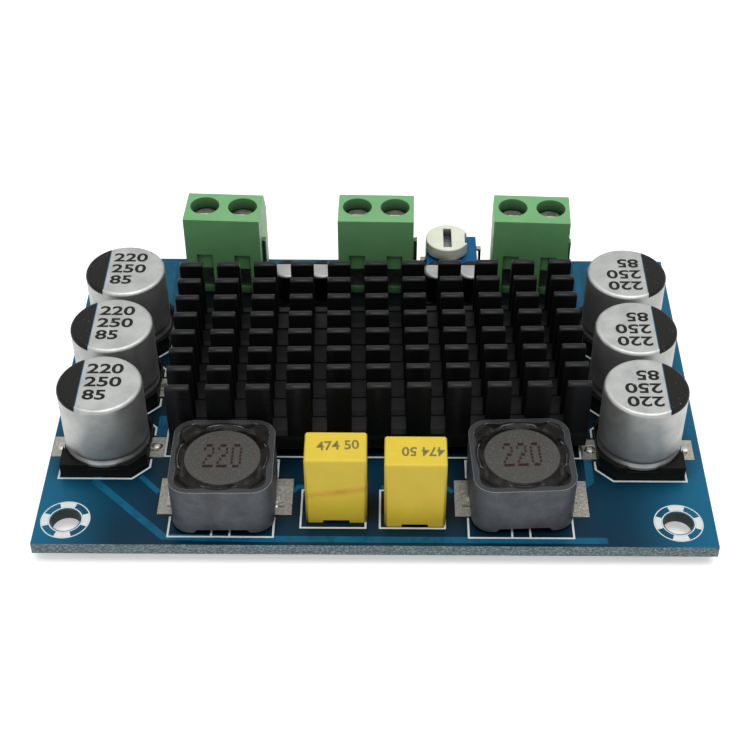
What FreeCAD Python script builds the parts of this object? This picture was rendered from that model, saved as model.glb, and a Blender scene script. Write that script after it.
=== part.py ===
import FreeCAD, Part
import math
import os
import re
import Sketcher

# Mono power amplifier board: a drilled circuit board that carries one amplifier
# chip under a cross-cut heat sink, with its capacitors, inductors, screw terminals
# and level trimmer. Millimetres. The origin is the centre of the four mounting
# holes on the underside, +X runs along the board, +Y to the terminals, +Z up.

# Driving sizes: alias, value, meaning
SIZES = [
    ("board_thickness", 1.6, "board thickness"),
    ("side_margin", 2.25, "bare board beside the big capacitors"),
    ("board_shift", 0.4, "board's middle, from the middle of the mounting holes"),
    ("front_margin", 1.6, "bare board in front of the inductors"),
    ("mount_inset_x", 3.9, "mounting hole centres, from the board's ends on average"),
    ("mount_inset_y", 3.8, "mounting hole centre, from the board's front or back"),
    ("mount_hole_diameter", 3.5, "mounting hole"),
    ("pin_play", 0.15, "gap round a lead in its drilled hole"),
    ("lead_protrusion", 1.6, "leads and screw heads below the board"),
    ("sink_bulk_gap", 2.05, "heat sink's end to the big capacitors' bases"),
    ("bulk_gap", 0.6, "between the big capacitors' bases"),
    ("bulk_middle_y", -0.1, "middle big capacitor"),
    ("bulk_back_shift", 0.3, "back left big capacitor, nearer the heat sink"),
    ("bulk_diameter", 10.2, "big capacitor can"),
    ("bulk_height", 10.65, "big capacitor, board to top"),
    ("bulk_base_rim", 0.05, "big capacitor base, past the can"),
    ("bulk_base_height", 2.1, "big capacitor base corners"),
    ("bulk_base_plate", 1.3, "big capacitor base floor"),
    ("bulk_base_chamfer", 2.0, "big capacitor base, cut corners"),
    ("bulk_tab_width", 1.2, "big capacitor lead width"),
    ("bulk_tab_reach", 6.2, "big capacitor lead, middle to tip"),
    ("terminal_small_gap", 0.07, "middle terminal to the left pair of small capacitors"),
    ("trimmer_small_shift", 0.35, "right pair of small capacitors, from the trimmer's middle"),
    ("small_gap", 0.4, "between the bases of a pair of small capacitors"),
    ("sink_small_gap", 3.815, "heat sink's back to the small capacitors' bases"),
    ("small_diameter", 4.0, "small capacitor can"),
    ("small_height", 5.4, "small capacitor, board to top"),
    ("small_base_rim", 0.1, "small capacitor base, past the can"),
    ("small_base_height", 1.1, "small capacitor base corners"),
    ("small_base_plate", 0.7, "small capacitor base floor"),
    ("small_base_chamfer", 0.9, "small capacitor base, cut corners"),
    ("small_tab_width", 0.6, "small capacitor lead width"),
    ("small_tab_reach", 2.9, "small capacitor lead, middle to tip"),
    ("tab_thickness", 0.25, "capacitor lead thickness"),
    ("bulk_bead", 0.75, "big capacitor bottom bead"),
    ("bulk_waist", 0.25, "big capacitor waist above the bead"),
    ("small_bead", 0.4, "small capacitor bottom bead"),
    ("small_waist", 0.12, "small capacitor waist above the bead"),
    ("tab_gap", 0.9, "middle of a capacitor to its leads"),
    ("can_lip", 0.45, "rolled edge at a can's top"),
    ("bulk_play", 0.35, "big capacitor to its base's corners"),
    ("small_play", 0.05, "small capacitor to its base's corners"),
    ("sink_length", 50.8, "heat sink, left to right"),
    ("sink_centre_x", 0.4, "heat sink centre"),
    ("sink_skew", 1.4, "heat sink turned by, degrees"),
    ("sink_top", 11.5, "heat sink top above the board"),
    ("sink_base", 2.2, "heat sink base plate"),
    ("sink_stub", 0.15, "low ridges that the fins leave in the cross cuts"),
    ("fin_pitch", 3.36, "fin pitch, front to back"),
    ("fin_thickness", 0.95, "fin thickness"),
    ("fin_count", 8, "fins"),
    ("fin_crown", 0.2, "bevel along a fin's top"),
    ("slot_pitch", 4.78, "cross cut pitch"),
    ("slot_width", 1.8, "cross cut width"),
    ("slot_count", 10, "cross cuts"),
    ("sink_screw_spacing", 40.0, "heat sink screws, left to right"),
    ("sink_screw_diameter", 3.0, "heat sink screw"),
    ("sink_screw_grip", 2.0, "screw length inside the heat sink"),
    ("sink_screw_hole", 4.2, "screw hole in the board"),
    ("sink_screw_head", 5.5, "heat sink screw head"),
    ("chip_length", 11.0, "amplifier chip body"),
    ("chip_width", 6.1, "amplifier chip body"),
    ("chip_standoff", 0.1, "gap under the chip"),
    ("chip_body", 1.05, "chip body height"),
    ("chip_lead_pitch", 0.65, "chip lead pitch"),
    ("chip_lead_count", 16, "chip leads on a side"),
    ("chip_lead_width", 0.22, "chip lead width"),
    ("chip_lead_thickness", 0.15, "chip lead thickness"),
    ("chip_lead_reach", 1.0, "chip lead, body to tip"),
    ("compound_thickness", 0.1, "heat compound"),
    ("compound_inset", 1.0, "heat compound, in from the chip's edge"),
    ("sink_inductor_gap", 1.165, "heat sink's front to the left inductor"),
    ("inductor_film_gap", 3.3, "inductors to the film capacitors beside them, on average"),
    ("inductor_stagger", 0.5, "right inductor, behind the left one"),
    ("inductor_skew_left", 0.5, "left inductor turned by, degrees"),
    ("inductor_skew_right", 2.8, "right inductor turned by, degrees"),
    ("inductor_width", 12.0, "inductor shield"),
    ("inductor_height", 7.0, "inductor, board to top"),
    ("inductor_corner", 2.4, "inductor shield corner radius"),
    ("inductor_wall", 0.8, "shield's wall at the middle of a side"),
    ("inductor_gap", 0.7, "gap round the drum core"),
    ("inductor_coil_gap", 0.45, "coil, in from the drum core's rim"),
    ("inductor_flange", 1.3, "drum core flange"),
    ("inductor_post", 5.0, "drum core post"),
    ("inductor_notch_width", 5.8, "notch under the shield, at its top"),
    ("inductor_notch_slope", 0.4, "slope at each end of the notch"),
    ("inductor_notch_height", 0.45, "notch under the shield"),
    ("inductor_pocket_wall", 1.985, "shield's square corner to the glue pocket"),
    ("inductor_pocket_inner", 5.0, "glue pocket, across its mouth"),
    ("inductor_pocket_outer", 2.2, "glue pocket, across its outer side"),
    ("inductor_pocket_round", 0.7, "glue pocket, rounded corners"),
    ("inductor_pocket_depth", 1.2, "glue pocket"),
    ("inductor_core_drop", 0.2, "drum core below the shield's rim"),
    ("inductor_clip_width", 3.2, "inductor clip"),
    ("inductor_clip_thickness", 0.3, "inductor clip"),
    ("inductor_clip_inner", 3.4, "inductor clip, middle to inner end"),
    ("inductor_clip_lip", 0.95, "inductor clip, out from under the shield"),
    ("film_gap", 2.0, "between the film capacitors"),
    ("film_front_gap", 3.6, "board's front edge to the left film capacitor"),
    ("film_stagger", 0.6, "right film capacitor, in front of the left one"),
    ("film_width", 7.2, "film capacitor"),
    ("film_depth", 4.9, "film capacitor"),
    ("film_height", 10.2, "film capacitor, board to top"),
    ("film_edge", 0.35, "film capacitor edge rounding"),
    ("film_foot_width", 2.05, "film capacitor foot, left to right"),
    ("film_foot_depth", 1.2, "film capacitor foot, front to back"),
    ("film_foot_height", 0.4, "film capacitor foot"),
    ("film_lead_pitch", 5.0, "film capacitor leads"),
    ("film_lead_diameter", 0.6, "film capacitor lead"),
    ("terminal_overhang", 0.2, "terminal's wire face past the board's back edge"),
    ("terminal_trimmer_gap", 0.57, "middle terminal's rib to the trimmer's pin"),
    ("trimmer_terminal_gap", 0.87, "trimmer's pins to the outer terminal, which the left one mirrors"),
    ("terminal_right_shift", 0.25, "right terminal, farther out than the left one"),
    ("terminal_skew_left", -2.4, "left terminal turned by, degrees"),
    ("terminal_skew_middle", -0.8, "middle terminal turned by, degrees"),
    ("terminal_skew_right", -2.2, "right terminal turned by, degrees"),
    ("pole_pitch", 5.08, "terminal pole pitch"),
    ("terminal_depth", 8.0, "terminal, rear face to wire face"),
    ("terminal_height", 12.4, "terminal height"),
    ("terminal_top_depth", 6.1, "terminal flat top"),
    ("terminal_shoulder", 9.0, "height where the slope meets the wire face"),
    ("terminal_floor", 0.9, "terminal floor"),
    ("screw_axis_y", 3.35, "screw, from the rear face"),
    ("screw_well_diameter", 3.9, "well over the screw"),
    ("window_width", 2.1, "rear window"),
    ("window_sill", 1.1, "rear window sill"),
    ("recess_top", 6.65, "rear recess top"),
    ("recess_depth", 0.35, "rear recess depth"),
    ("wire_entry_sill", 1.3, "wire entry sill"),
    ("rib_height", 7.7, "joining rib"),
    ("rib_reach", 0.5, "joining rib, out from the side"),
    ("rib_width", 1.1, "joining rib"),
    ("rib_y", 2.6, "joining rib, from the rear face"),
    ("rib_taper", 0.2, "joining rib, narrower at its root"),
    ("rib_play", 0.05, "joining groove clearance"),
    ("cage_depth", 3.4, "clamp cage"),
    ("cage_wall", 0.35, "clamp cage side and floor"),
    ("cage_roof", 1.0, "clamp cage roof"),
    ("cage_play", 0.1, "clamp cage clearance in the housing"),
    ("clamp_travel", 2.4, "clamp travel"),
    ("strip_height", 4.2, "underside of the contact strip"),
    ("strip_thickness", 0.7, "contact strip"),
    ("strip_width", 2.0, "contact strip"),
    ("strip_leg_y", 0.7, "contact leg, from the rear face"),
    ("pin_width", 1.0, "contact pin"),
    ("screw_diameter", 2.5, "terminal screw"),
    ("screw_play", 0.05, "running fit of the terminal screw"),
    ("screw_head_diameter", 3.6, "terminal screw head"),
    ("screw_head_height", 2.3, "terminal screw head"),
    ("screw_slot_width", 0.6, "terminal screw slot"),
    ("screw_slot_depth", 0.6, "terminal screw slot"),
    ("trimmer_back_gap", 0.2, "trimmer body to the board's back edge"),
    ("trimmer_width", 7.0, "trimmer body, left to right"),
    ("trimmer_depth", 6.4, "trimmer body, front to back"),
    ("trimmer_height", 4.45, "trimmer body, board to top"),
    ("trimmer_foot", 0.4, "trimmer body feet"),
    ("dial_offset", -0.6, "dial, from the body centre"),
    ("dial_diameter", 5.9, "trimmer dial"),
    ("dial_top", 6.6, "trimmer dial top"),
    ("dial_slot_width", 1.1, "dial slot"),
    ("dial_slot_length", 4.2, "dial slot"),
    ("dial_slot_depth", 1.5, "dial slot"),
    ("dial_notch_width", 2.2, "dial edge notch"),
    ("dial_notch_depth", 0.55, "dial edge notch"),
    ("hub_diameter", 2.4, "dial hub"),
    ("hub_length", 2.2, "dial hub"),
    ("hub_play", 0.05, "running fit of the dial hub"),
    ("wiper_diameter", 4.6, "wiper spring"),
    ("wiper_thickness", 0.25, "wiper spring"),
    ("wiper_play", 0.1, "gap between the wiper and the body"),
    ("trimmer_pin_width", 0.8, "trimmer pin"),
    ("trimmer_pin_thickness", 0.35, "trimmer pin"),
    ("trimmer_pin_spread", 2.5, "paired trimmer pins, from the centre"),
    ("trimmer_pin_reach", 0.75, "trimmer pin, out from the body"),
    ("trimmer_pin_height", 3.0, "where a pin leaves the body"),
]

# Small parts under the heat sink: place, and whether they stand across the board
RESISTOR_PLACES = [(-12.0, -6.0), (-12.0, -3.0), (-12.0, 3.0), (-12.0, 6.0), (-15.0, 0.0), (14.0, 5.0)]
CERAMIC_PLACES = [(x, y) for y in (-7.5, 7.5) for x in (-8.5, -4.0, 4.0, 8.5)]
RESISTOR_SIZE = (1.6, 0.8, 0.45)
CERAMIC_SIZE = (2.0, 1.25, 0.85)

ALIASES = {alias for alias, number, meaning in SIZES}
SIDES = (-1, 1)

# Where a sketch's points lie before their constraints take them to their places
START = 50
START_REACH = 20
START_DIAMETER = 10

DOC = FreeCAD.newDocument("amplifier_board")


def fill_sheet():
    """Write every driving size into the sheet, with its meaning beside it."""
    sheet = DOC.addObject("Spreadsheet::Sheet", "Sizes")
    for row, (alias, number, meaning) in enumerate(SIZES, start=1):
        sheet.set("A%d" % row, meaning)
        sheet.set("B%d" % row, str(number))
        sheet.setAlias("B%d" % row, alias)
    DOC.recompute()
    return sheet


SHEET = fill_sheet()


def size(alias):
    """The number that the sheet holds under an alias."""
    return float(SHEET.get(alias))


def cell_or_word(match):
    """An alias becomes a reference to its cell; any other word stays."""
    word = match.group()
    if word in ALIASES:
        return "Sizes." + word
    return word


def bind(thing, path, formula):
    """Tie a property to a formula written with the sheet's aliases."""
    thing.setExpression(path, re.sub("[a-z][a-z_]*", cell_or_word, formula))


def place(thing, x="0", y="0", z="0", turn="0"):
    """Tie a placement to formulas; turn is about the vertical, in degrees."""
    thing.Placement = FreeCAD.Placement(FreeCAD.Vector(), FreeCAD.Rotation(FreeCAD.Vector(0, 0, 1), 1))
    bind(thing, "Placement.Rotation.Angle", turn)
    bind(thing, "Placement.Base.x", x)
    bind(thing, "Placement.Base.y", y)
    bind(thing, "Placement.Base.z", z)


def new_body(label):
    body = DOC.addObject("PartDesign::Body", label)
    body.Label = label
    return body


def origin_feature(body, role):
    """A plane or an axis of the body's own origin."""
    for feature in body.Origin.OriginFeatures:
        if feature.Role == role:
            return feature
    raise ValueError(role)


def new_sketch(body, plane="XY_Plane", offset="0"):
    """A sketch on a plane of the body's origin, lifted along the plane's normal."""
    sketch = body.newObject("Sketcher::SketchObject", body.Name + "_sketch")
    sketch.AttachmentSupport = [(origin_feature(body, plane), "")]
    sketch.MapMode = "FlatFace"
    bind(sketch, "AttachmentOffset.Base.z", offset)
    return sketch


def hold_point(sketch, element, point, spot, across, along):
    """Hold a sketch point at two formulas from the sketch's origin."""
    for kind, axis, start, formula in (("DistanceX", -2, spot.x, across), ("DistanceY", -1, spot.y, along)):
        if formula == "0":
            sketch.addConstraint(Sketcher.Constraint("PointOnObject", element, point, axis))
        else:
            index = sketch.addConstraint(Sketcher.Constraint(kind, -1, 1, element, point, start))
            bind(sketch, "Constraints[%d]" % index, formula)


def draw_outline(sketch, corners):
    """Close a straight-sided outline through corners given as pairs of formulas."""
    count = len(corners)
    first = sketch.GeometryCount
    spots = []
    for i in range(count):
        spoke = FreeCAD.Vector(START_REACH, 0, 0)
        turn = FreeCAD.Rotation(FreeCAD.Vector(0, 0, 1), 360 * i / count)
        spots.append(FreeCAD.Vector(START, START, 0) + turn.multVec(spoke))
    for i in range(count):
        sketch.addGeometry(Part.LineSegment(spots[i], spots[(i + 1) % count]), False)
    for i in range(count):
        sketch.addConstraint(Sketcher.Constraint("Coincident", first + i, 2, first + (i + 1) % count, 1))
    for i, (across, along) in enumerate(corners):
        hold_point(sketch, first + i, 1, spots[i], across, along)


def draw_rectangle(sketch, left, front, right, back):
    draw_outline(sketch, [(left, front), (right, front), (right, back), (left, back)])


def draw_circle(sketch, x, y, diameter):
    start = FreeCAD.Vector(START, START, 0)
    circle = Part.Circle(start, FreeCAD.Vector(0, 0, 1), START_DIAMETER / 2)
    element = sketch.addGeometry(circle, False)
    hold_point(sketch, element, 3, start, x, y)
    index = sketch.addConstraint(Sketcher.Constraint("Diameter", element, START_DIAMETER))
    bind(sketch, "Constraints[%d]" % index, diameter)


def pad(body, sketch, length, symmetric=False):
    feature = body.newObject("PartDesign::Pad", body.Name + "_pad")
    feature.Profile = sketch
    feature.SideType = "Symmetric" if symmetric else "One side"
    bind(feature, "Length", length)
    sketch.Visibility = False
    DOC.recompute()
    return feature


def pocket(body, sketch, length, upward=False, symmetric=False):
    """Cut from the sketch down into the body, up from below, or both ways."""
    feature = body.newObject("PartDesign::Pocket", body.Name + "_pocket")
    feature.Profile = sketch
    feature.SideType = "Symmetric" if symmetric else "One side"
    feature.Reversed = upward
    bind(feature, "Length", length)
    DOC.recompute()
    return feature


def cut_rectangles(body, floor, height, rectangles):
    """Cut upright rectangular hollows that start at one level."""
    sketch = new_sketch(body, offset=floor)
    for rectangle in rectangles:
        draw_rectangle(sketch, *rectangle)
    return pocket(body, sketch, height, upward=True)


def revolve(body, corners):
    """Turn an outline of radius and height pairs about the vertical axis."""
    sketch = new_sketch(body, "XZ_Plane")
    draw_outline(sketch, corners)
    feature = body.newObject("PartDesign::Revolution", body.Name + "_turned")
    feature.Profile = sketch
    feature.ReferenceAxis = (sketch, ["V_Axis"])
    feature.Angle = 360
    DOC.recompute()
    return feature


def row_of(body, feature, axis, length, count):
    """Repeat a feature in a row along an axis of the body's origin."""
    pattern = body.newObject("PartDesign::LinearPattern", body.Name + "_row")
    pattern.Originals = [feature]
    pattern.Direction = (origin_feature(body, axis), [""])
    bind(pattern, "Length", length)
    bind(pattern, "Occurrences", count)
    body.Tip = pattern
    DOC.recompute()
    return pattern


def edges_of(feature, wanted):
    """Names of the feature's edges whose bounding box passes a test."""
    edges = enumerate(feature.Shape.Edges, start=1)
    return ["Edge%d" % number for number, edge in edges if wanted(edge.BoundBox)]


def soften(body, kind, feature, wanted, amount):
    """Round or bevel the edges that pass a test."""
    softened = body.newObject("PartDesign::" + kind, body.Name + "_edges")
    softened.Base = (feature, edges_of(feature, wanted))
    bind(softened, "Radius" if kind == "Fillet" else "Size", amount)
    DOC.recompute()
    return softened


def is_upright(box):
    return box.ZLength > 0.01 and box.XLength < 0.001 and box.YLength < 0.001


def group(label, members):
    """Several separate solids that share one node."""
    compound = DOC.addObject("Part::Compound", label)
    compound.Label = label
    compound.Links = members
    return compound


def new_box(name, x, y, z, length, width, height):
    """A block centred on x and y and standing on z."""
    block = DOC.addObject("Part::Box", name)
    bind(block, "Length", length)
    bind(block, "Width", width)
    bind(block, "Height", height)
    place(block, "%s - (%s) / 2" % (x, length), "%s - (%s) / 2" % (y, width), z)
    return block


def new_cylinder(name, x, y, z, diameter, height):
    rod = DOC.addObject("Part::Cylinder", name)
    bind(rod, "Radius", "(%s) / 2" % diameter)
    bind(rod, "Height", height)
    place(rod, x, y, z)
    return rod


LEAD_FOOT = "-lead_protrusion"
SINK_FLOOR = "(board_thickness + chip_standoff + chip_body + compound_thickness)"
SINK_HEIGHT = "(sink_top - chip_standoff - chip_body - compound_thickness)"
SINK_DEPTH = "((fin_count - 1) * fin_pitch + fin_thickness)"

# The layout: each row of parts stands a named gap from the one before it
BULK_BASE = "(bulk_diameter + 2 * bulk_base_rim)"
SMALL_BASE = "(small_diameter + 2 * small_base_rim)"
BULK_COLUMN = "(sink_length / 2 + sink_bulk_gap + %s / 2)" % BULK_BASE
HALF_LENGTH = "(sink_length / 2 + sink_bulk_gap + %s + side_margin)" % BULK_BASE
HALF_DEPTH = "(%s / 2 + sink_inductor_gap + inductor_width + front_margin)" % SINK_DEPTH
FILM_X = "((film_gap + film_width) / 2)"
FILM_Y = "(film_front_gap + film_depth / 2 - %s)" % HALF_DEPTH
FILMS = [
    ("left", "board_shift - " + FILM_X, FILM_Y),
    ("right", "board_shift + " + FILM_X, FILM_Y + " - film_stagger"),
]
INDUCTOR_X = "(film_gap / 2 + film_width + inductor_film_gap + inductor_width / 2)"
INDUCTOR_Y = "(-%s / 2 - sink_inductor_gap - inductor_width / 2)" % SINK_DEPTH
INDUCTOR_BORE = "(inductor_width - 2 * inductor_wall)"
POCKET_REACH = "(inductor_width / sqrt(2) - inductor_pocket_wall)"
CLIP_REACH = "(inductor_width / 2 + inductor_clip_lip)"
TERMINAL_REAR = "(%s + terminal_overhang - terminal_depth)" % HALF_DEPTH
TRIMMER_SIDE = "(trimmer_width / 2 + trimmer_pin_reach)"
TRIMMER_X = "(pole_pitch + rib_reach + terminal_trimmer_gap + %s)" % TRIMMER_SIDE
TRIMMER_Y = "(%s - trimmer_back_gap - trimmer_depth / 2)" % HALF_DEPTH
TERMINAL_X = "(%s + %s + trimmer_terminal_gap + pole_pitch)" % (TRIMMER_X, TRIMMER_SIDE)
SMALL_PITCH = "(%s + small_gap)" % SMALL_BASE
SMALL_LEFT = "(-pole_pitch - terminal_small_gap - (%s + %s) / 2)" % (SMALL_BASE, SMALL_PITCH)
SMALL_RIGHT = "(%s + trimmer_small_shift)" % TRIMMER_X
SMALL_ROW = "(%s / 2 + sink_small_gap + %s / 2)" % (SINK_DEPTH, SMALL_BASE)
CAGE_WIDTH = "(screw_diameter + 2 * screw_play + 2 * cage_wall)"
TERMINALS = [
    ("left", "-" + TERMINAL_X, "terminal_skew_left"),
    ("middle", "0", "terminal_skew_middle"),
    ("right", TERMINAL_X + " + terminal_right_shift", "terminal_skew_right"),
]
STRIP_TOP = "(strip_height + strip_thickness)"
CAGE_FLOOR = "(terminal_floor + cage_play)"
CAGE_TOP = "(strip_height + strip_thickness + cage_play + cage_roof)"
WELL_FLOOR = "(strip_height + strip_thickness + 2 * cage_play + cage_roof + clamp_travel)"
PIN_ROW = "(strip_leg_y + strip_thickness / 2)"
TRIMMER_PIN_OUT = "(%s - trimmer_pin_thickness / 2)" % TRIMMER_SIDE


def make_board():
    """The drilled board: mounting, terminal, film capacitor, trimmer and screw holes."""
    body = new_body("circuit_board")
    sketch = new_sketch(body)
    draw_rectangle(sketch, "board_shift - " + HALF_LENGTH, "-" + HALF_DEPTH,
                   "board_shift + " + HALF_LENGTH, HALF_DEPTH)
    for x in SIDES:
        for y in SIDES:
            across = "%d * (%s - mount_inset_x)" % (x, HALF_LENGTH)
            draw_circle(sketch, across, "%d * (%s - mount_inset_y)" % (y, HALF_DEPTH), "mount_hole_diameter")
    for name, centre, skew in TERMINALS:
        for pole in SIDES:
            across = "%s + %d * pole_pitch / 2" % (centre, pole)
            hole = "sqrt(pin_width ^ 2 + strip_thickness ^ 2) + 2 * pin_play"
            draw_circle(sketch, across, TERMINAL_REAR + " + " + PIN_ROW, hole)
    for name, x, y in FILMS:
        for lead in SIDES:
            across = "%s + %d * film_lead_pitch / 2" % (x, lead)
            draw_circle(sketch, across, y, "film_lead_diameter + 2 * pin_play")
    for x, y in ((-1, 0), (1, -1), (1, 1)):
        across = "%s + %d * %s" % (TRIMMER_X, x, TRIMMER_PIN_OUT)
        along = "%s + %d * trimmer_pin_spread" % (TRIMMER_Y, y)
        draw_circle(sketch, across, along, "trimmer_pin_width + 2 * pin_play")
    for x in SIDES:
        draw_circle(sketch, "sink_centre_x + %d * sink_screw_spacing / 2" % x, "0", "sink_screw_hole")
    pad(body, sketch, "board_thickness")
    return [body]


def make_heatsink():
    """A base plate with thin fins along X, sawn across into rows of short teeth."""
    body = new_body("heatsink")
    sketch = new_sketch(body)
    draw_rectangle(sketch, "-sink_length / 2", "-%s / 2" % SINK_DEPTH, "sink_length / 2", "%s / 2" % SINK_DEPTH)
    pad(body, sketch, "sink_base")
    fin = new_sketch(body, "YZ_Plane")
    front = "(-%s / 2)" % SINK_DEPTH
    draw_outline(fin, [
        (front, "sink_base / 2"),
        (front + " + fin_thickness", "sink_base / 2"),
        (front + " + fin_thickness", SINK_HEIGHT + " - fin_crown"),
        (front + " + fin_thickness - fin_crown", SINK_HEIGHT),
        (front + " + fin_crown", SINK_HEIGHT),
        (front, SINK_HEIGHT + " - fin_crown"),
    ])
    first_fin = pad(body, fin, "sink_length", symmetric=True)
    row_of(body, first_fin, "Y_Axis", "(fin_count - 1) * fin_pitch", "fin_count")
    left = "(-(slot_count - 1) * slot_pitch / 2)"
    first_slot = cut_rectangles(body, "sink_base + sink_stub", "sink_top", [
        (left + " - slot_width / 2", "-" + SINK_DEPTH, left + " + slot_width / 2", SINK_DEPTH),
    ])
    row_of(body, first_slot, "X_Axis", "(slot_count - 1) * slot_pitch", "slot_count")
    holes = new_sketch(body)
    for x in SIDES:
        draw_circle(holes, "%d * sink_screw_spacing / 2" % x, "0", "sink_screw_diameter")
    pocket(body, holes, "sink_screw_grip", upward=True)
    place(body, "sink_centre_x", "0", SINK_FLOOR, "sink_skew")
    return [body]


def make_sink_screws():
    """Two screws from below, each a round head with a hexagon socket."""
    screws = []
    for number, x in enumerate(SIDES, start=1):
        across = "%d * sink_screw_spacing / 2" % x
        name = "sink_screw_%d" % number
        shank = new_cylinder(name + "_shank", across, "0", "0", "sink_screw_diameter",
                             SINK_FLOOR + " + sink_screw_grip")
        head = new_cylinder(name + "_head", across, "0", LEAD_FOOT, "sink_screw_head", "lead_protrusion")
        whole = DOC.addObject("Part::Fuse", name + "_whole")
        whole.Base = shank
        whole.Tool = head
        socket = DOC.addObject("Part::Prism", name + "_socket")
        socket.Polygon = 6
        bind(socket, "Circumradius", "sink_screw_diameter * 0.38")
        bind(socket, "Height", "lead_protrusion * 0.6")
        place(socket, across, "0", LEAD_FOOT)
        screw = DOC.addObject("Part::Cut", name)
        screw.Base = whole
        screw.Tool = socket
        screws.append(screw)
    compound = group("heatsink_screws", screws)
    place(compound, "sink_centre_x", "0", "0", "sink_skew")
    return [compound]


def make_chip():
    """The amplifier chip, its gull-wing leads and the compound on its back."""
    body = new_body("amplifier_chip")
    sketch = new_sketch(body)
    draw_rectangle(sketch, "-chip_length / 2", "-chip_width / 2", "chip_length / 2", "chip_width / 2")
    block = pad(body, sketch, "chip_body")
    soften(body, "Chamfer", block, lambda box: box.ZMin > 0.01 and box.ZLength < 0.001, "chip_lead_thickness")
    place(body, "0", "0", "board_thickness + chip_standoff")
    compound = new_box("thermal_compound", "0", "0", "board_thickness + chip_standoff + chip_body",
                       "chip_length - 2 * compound_inset", "chip_width - 2 * compound_inset",
                       "compound_thickness")
    leads = DOC.addObject("Part::Feature", "amplifier_chip_leads")
    leads.Shape = chip_leads()
    leads.Placement = FreeCAD.Placement(FreeCAD.Vector(0, 0, size("board_thickness")), FreeCAD.Rotation())
    return [body, compound, leads]


def chip_leads():
    """Thin bent leads in two rows: out of the body, down, and flat on the board."""
    thick = size("chip_lead_thickness")
    wide = size("chip_lead_width")
    root = size("chip_width") / 2
    knee = root + size("chip_lead_reach") * 0.45
    tip = root + size("chip_lead_reach")
    exit_height = size("chip_standoff") + size("chip_body") * 0.5
    path = [(root, exit_height), (knee, exit_height), (knee, thick), (tip, thick), (tip, 0),
            (knee - thick, 0), (knee - thick, exit_height - thick), (root, exit_height - thick)]
    count = int(size("chip_lead_count"))
    start = -(count - 1) * size("chip_lead_pitch") / 2
    solids = []
    for number in range(count):
        x = start + number * size("chip_lead_pitch") - wide / 2
        for side in SIDES:
            corners = [FreeCAD.Vector(x, side * y, z) for y, z in path]
            face = Part.Face(Part.makePolygon(corners + corners[:1]))
            solids.append(face.extrude(FreeCAD.Vector(wide, 0, 0)))
    return Part.makeCompound(solids)


def make_small_parts():
    """Resistors and ceramic capacitors on the board under the heat sink."""
    made = []
    for label, places, block in (("chip_resistors", RESISTOR_PLACES, RESISTOR_SIZE),
                                 ("chip_capacitors", CERAMIC_PLACES, CERAMIC_SIZE)):
        members = []
        for number, (x, y) in enumerate(places, start=1):
            name = "%s_%d" % (label, number)
            members.append(new_box(name, str(x), str(y), "board_thickness", *map(str, block)))
        made.append(group(label, members))
    return made


def make_can(label, family, x, y, turn):
    """A deep-drawn can with a rolled top edge and a waist above its bottom bead."""
    body = new_body(label)
    radius = "(%s_diameter / 2)" % family
    floor = "%s_base_plate" % family
    top = "%s_height" % family
    bead = "(%s_base_plate + %s_bead)" % (family, family)
    waist = "%s_waist" % family
    can = revolve(body, [
        ("0", floor),
        (radius + " - " + waist, floor),
        (radius, floor + " + " + waist),
        (radius, bead),
        (radius + " - " + waist, bead + " + " + waist),
        (radius + " - " + waist, bead + " + 2 * " + waist),
        (radius, bead + " + 3 * " + waist),
        (radius, top),
        ("0", top),
    ])
    rim = can.Shape.BoundBox.ZMax - 0.001
    soften(body, "Fillet", can, lambda box: box.ZMin > rim and box.XLength > 1, "can_lip")
    place(body, x, y, "board_thickness", turn)
    return body


def make_can_base(label, family, x, y, turn):
    """A moulded base: cut corners on one side, a round seat and a channel for the leads."""
    body = new_body(label)
    half = "(%s_diameter / 2 + %s_base_rim)" % (family, family)
    cut = "%s_base_chamfer" % family
    sketch = new_sketch(body)
    draw_outline(sketch, [
        ("-" + half, "-" + half),
        ("%s - %s" % (half, cut), "-" + half),
        (half, "-%s + %s" % (half, cut)),
        (half, "%s - %s" % (half, cut)),
        ("%s - %s" % (half, cut), half),
        ("-" + half, half),
    ])
    pad(body, sketch, "%s_base_height" % family)
    seat = new_sketch(body, offset="%s_base_plate" % family)
    draw_circle(seat, "0", "0", "%s_diameter + 2 * %s_play" % (family, family))
    pocket(body, seat, "%s_base_height" % family, upward=True)
    tab = "(%s_tab_width / 2 + small_play)" % family
    cut_rectangles(body, "0", "tab_thickness", [("-" + half, "-" + tab, half, tab)])
    place(body, x, y, "board_thickness", turn)
    return body


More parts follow.
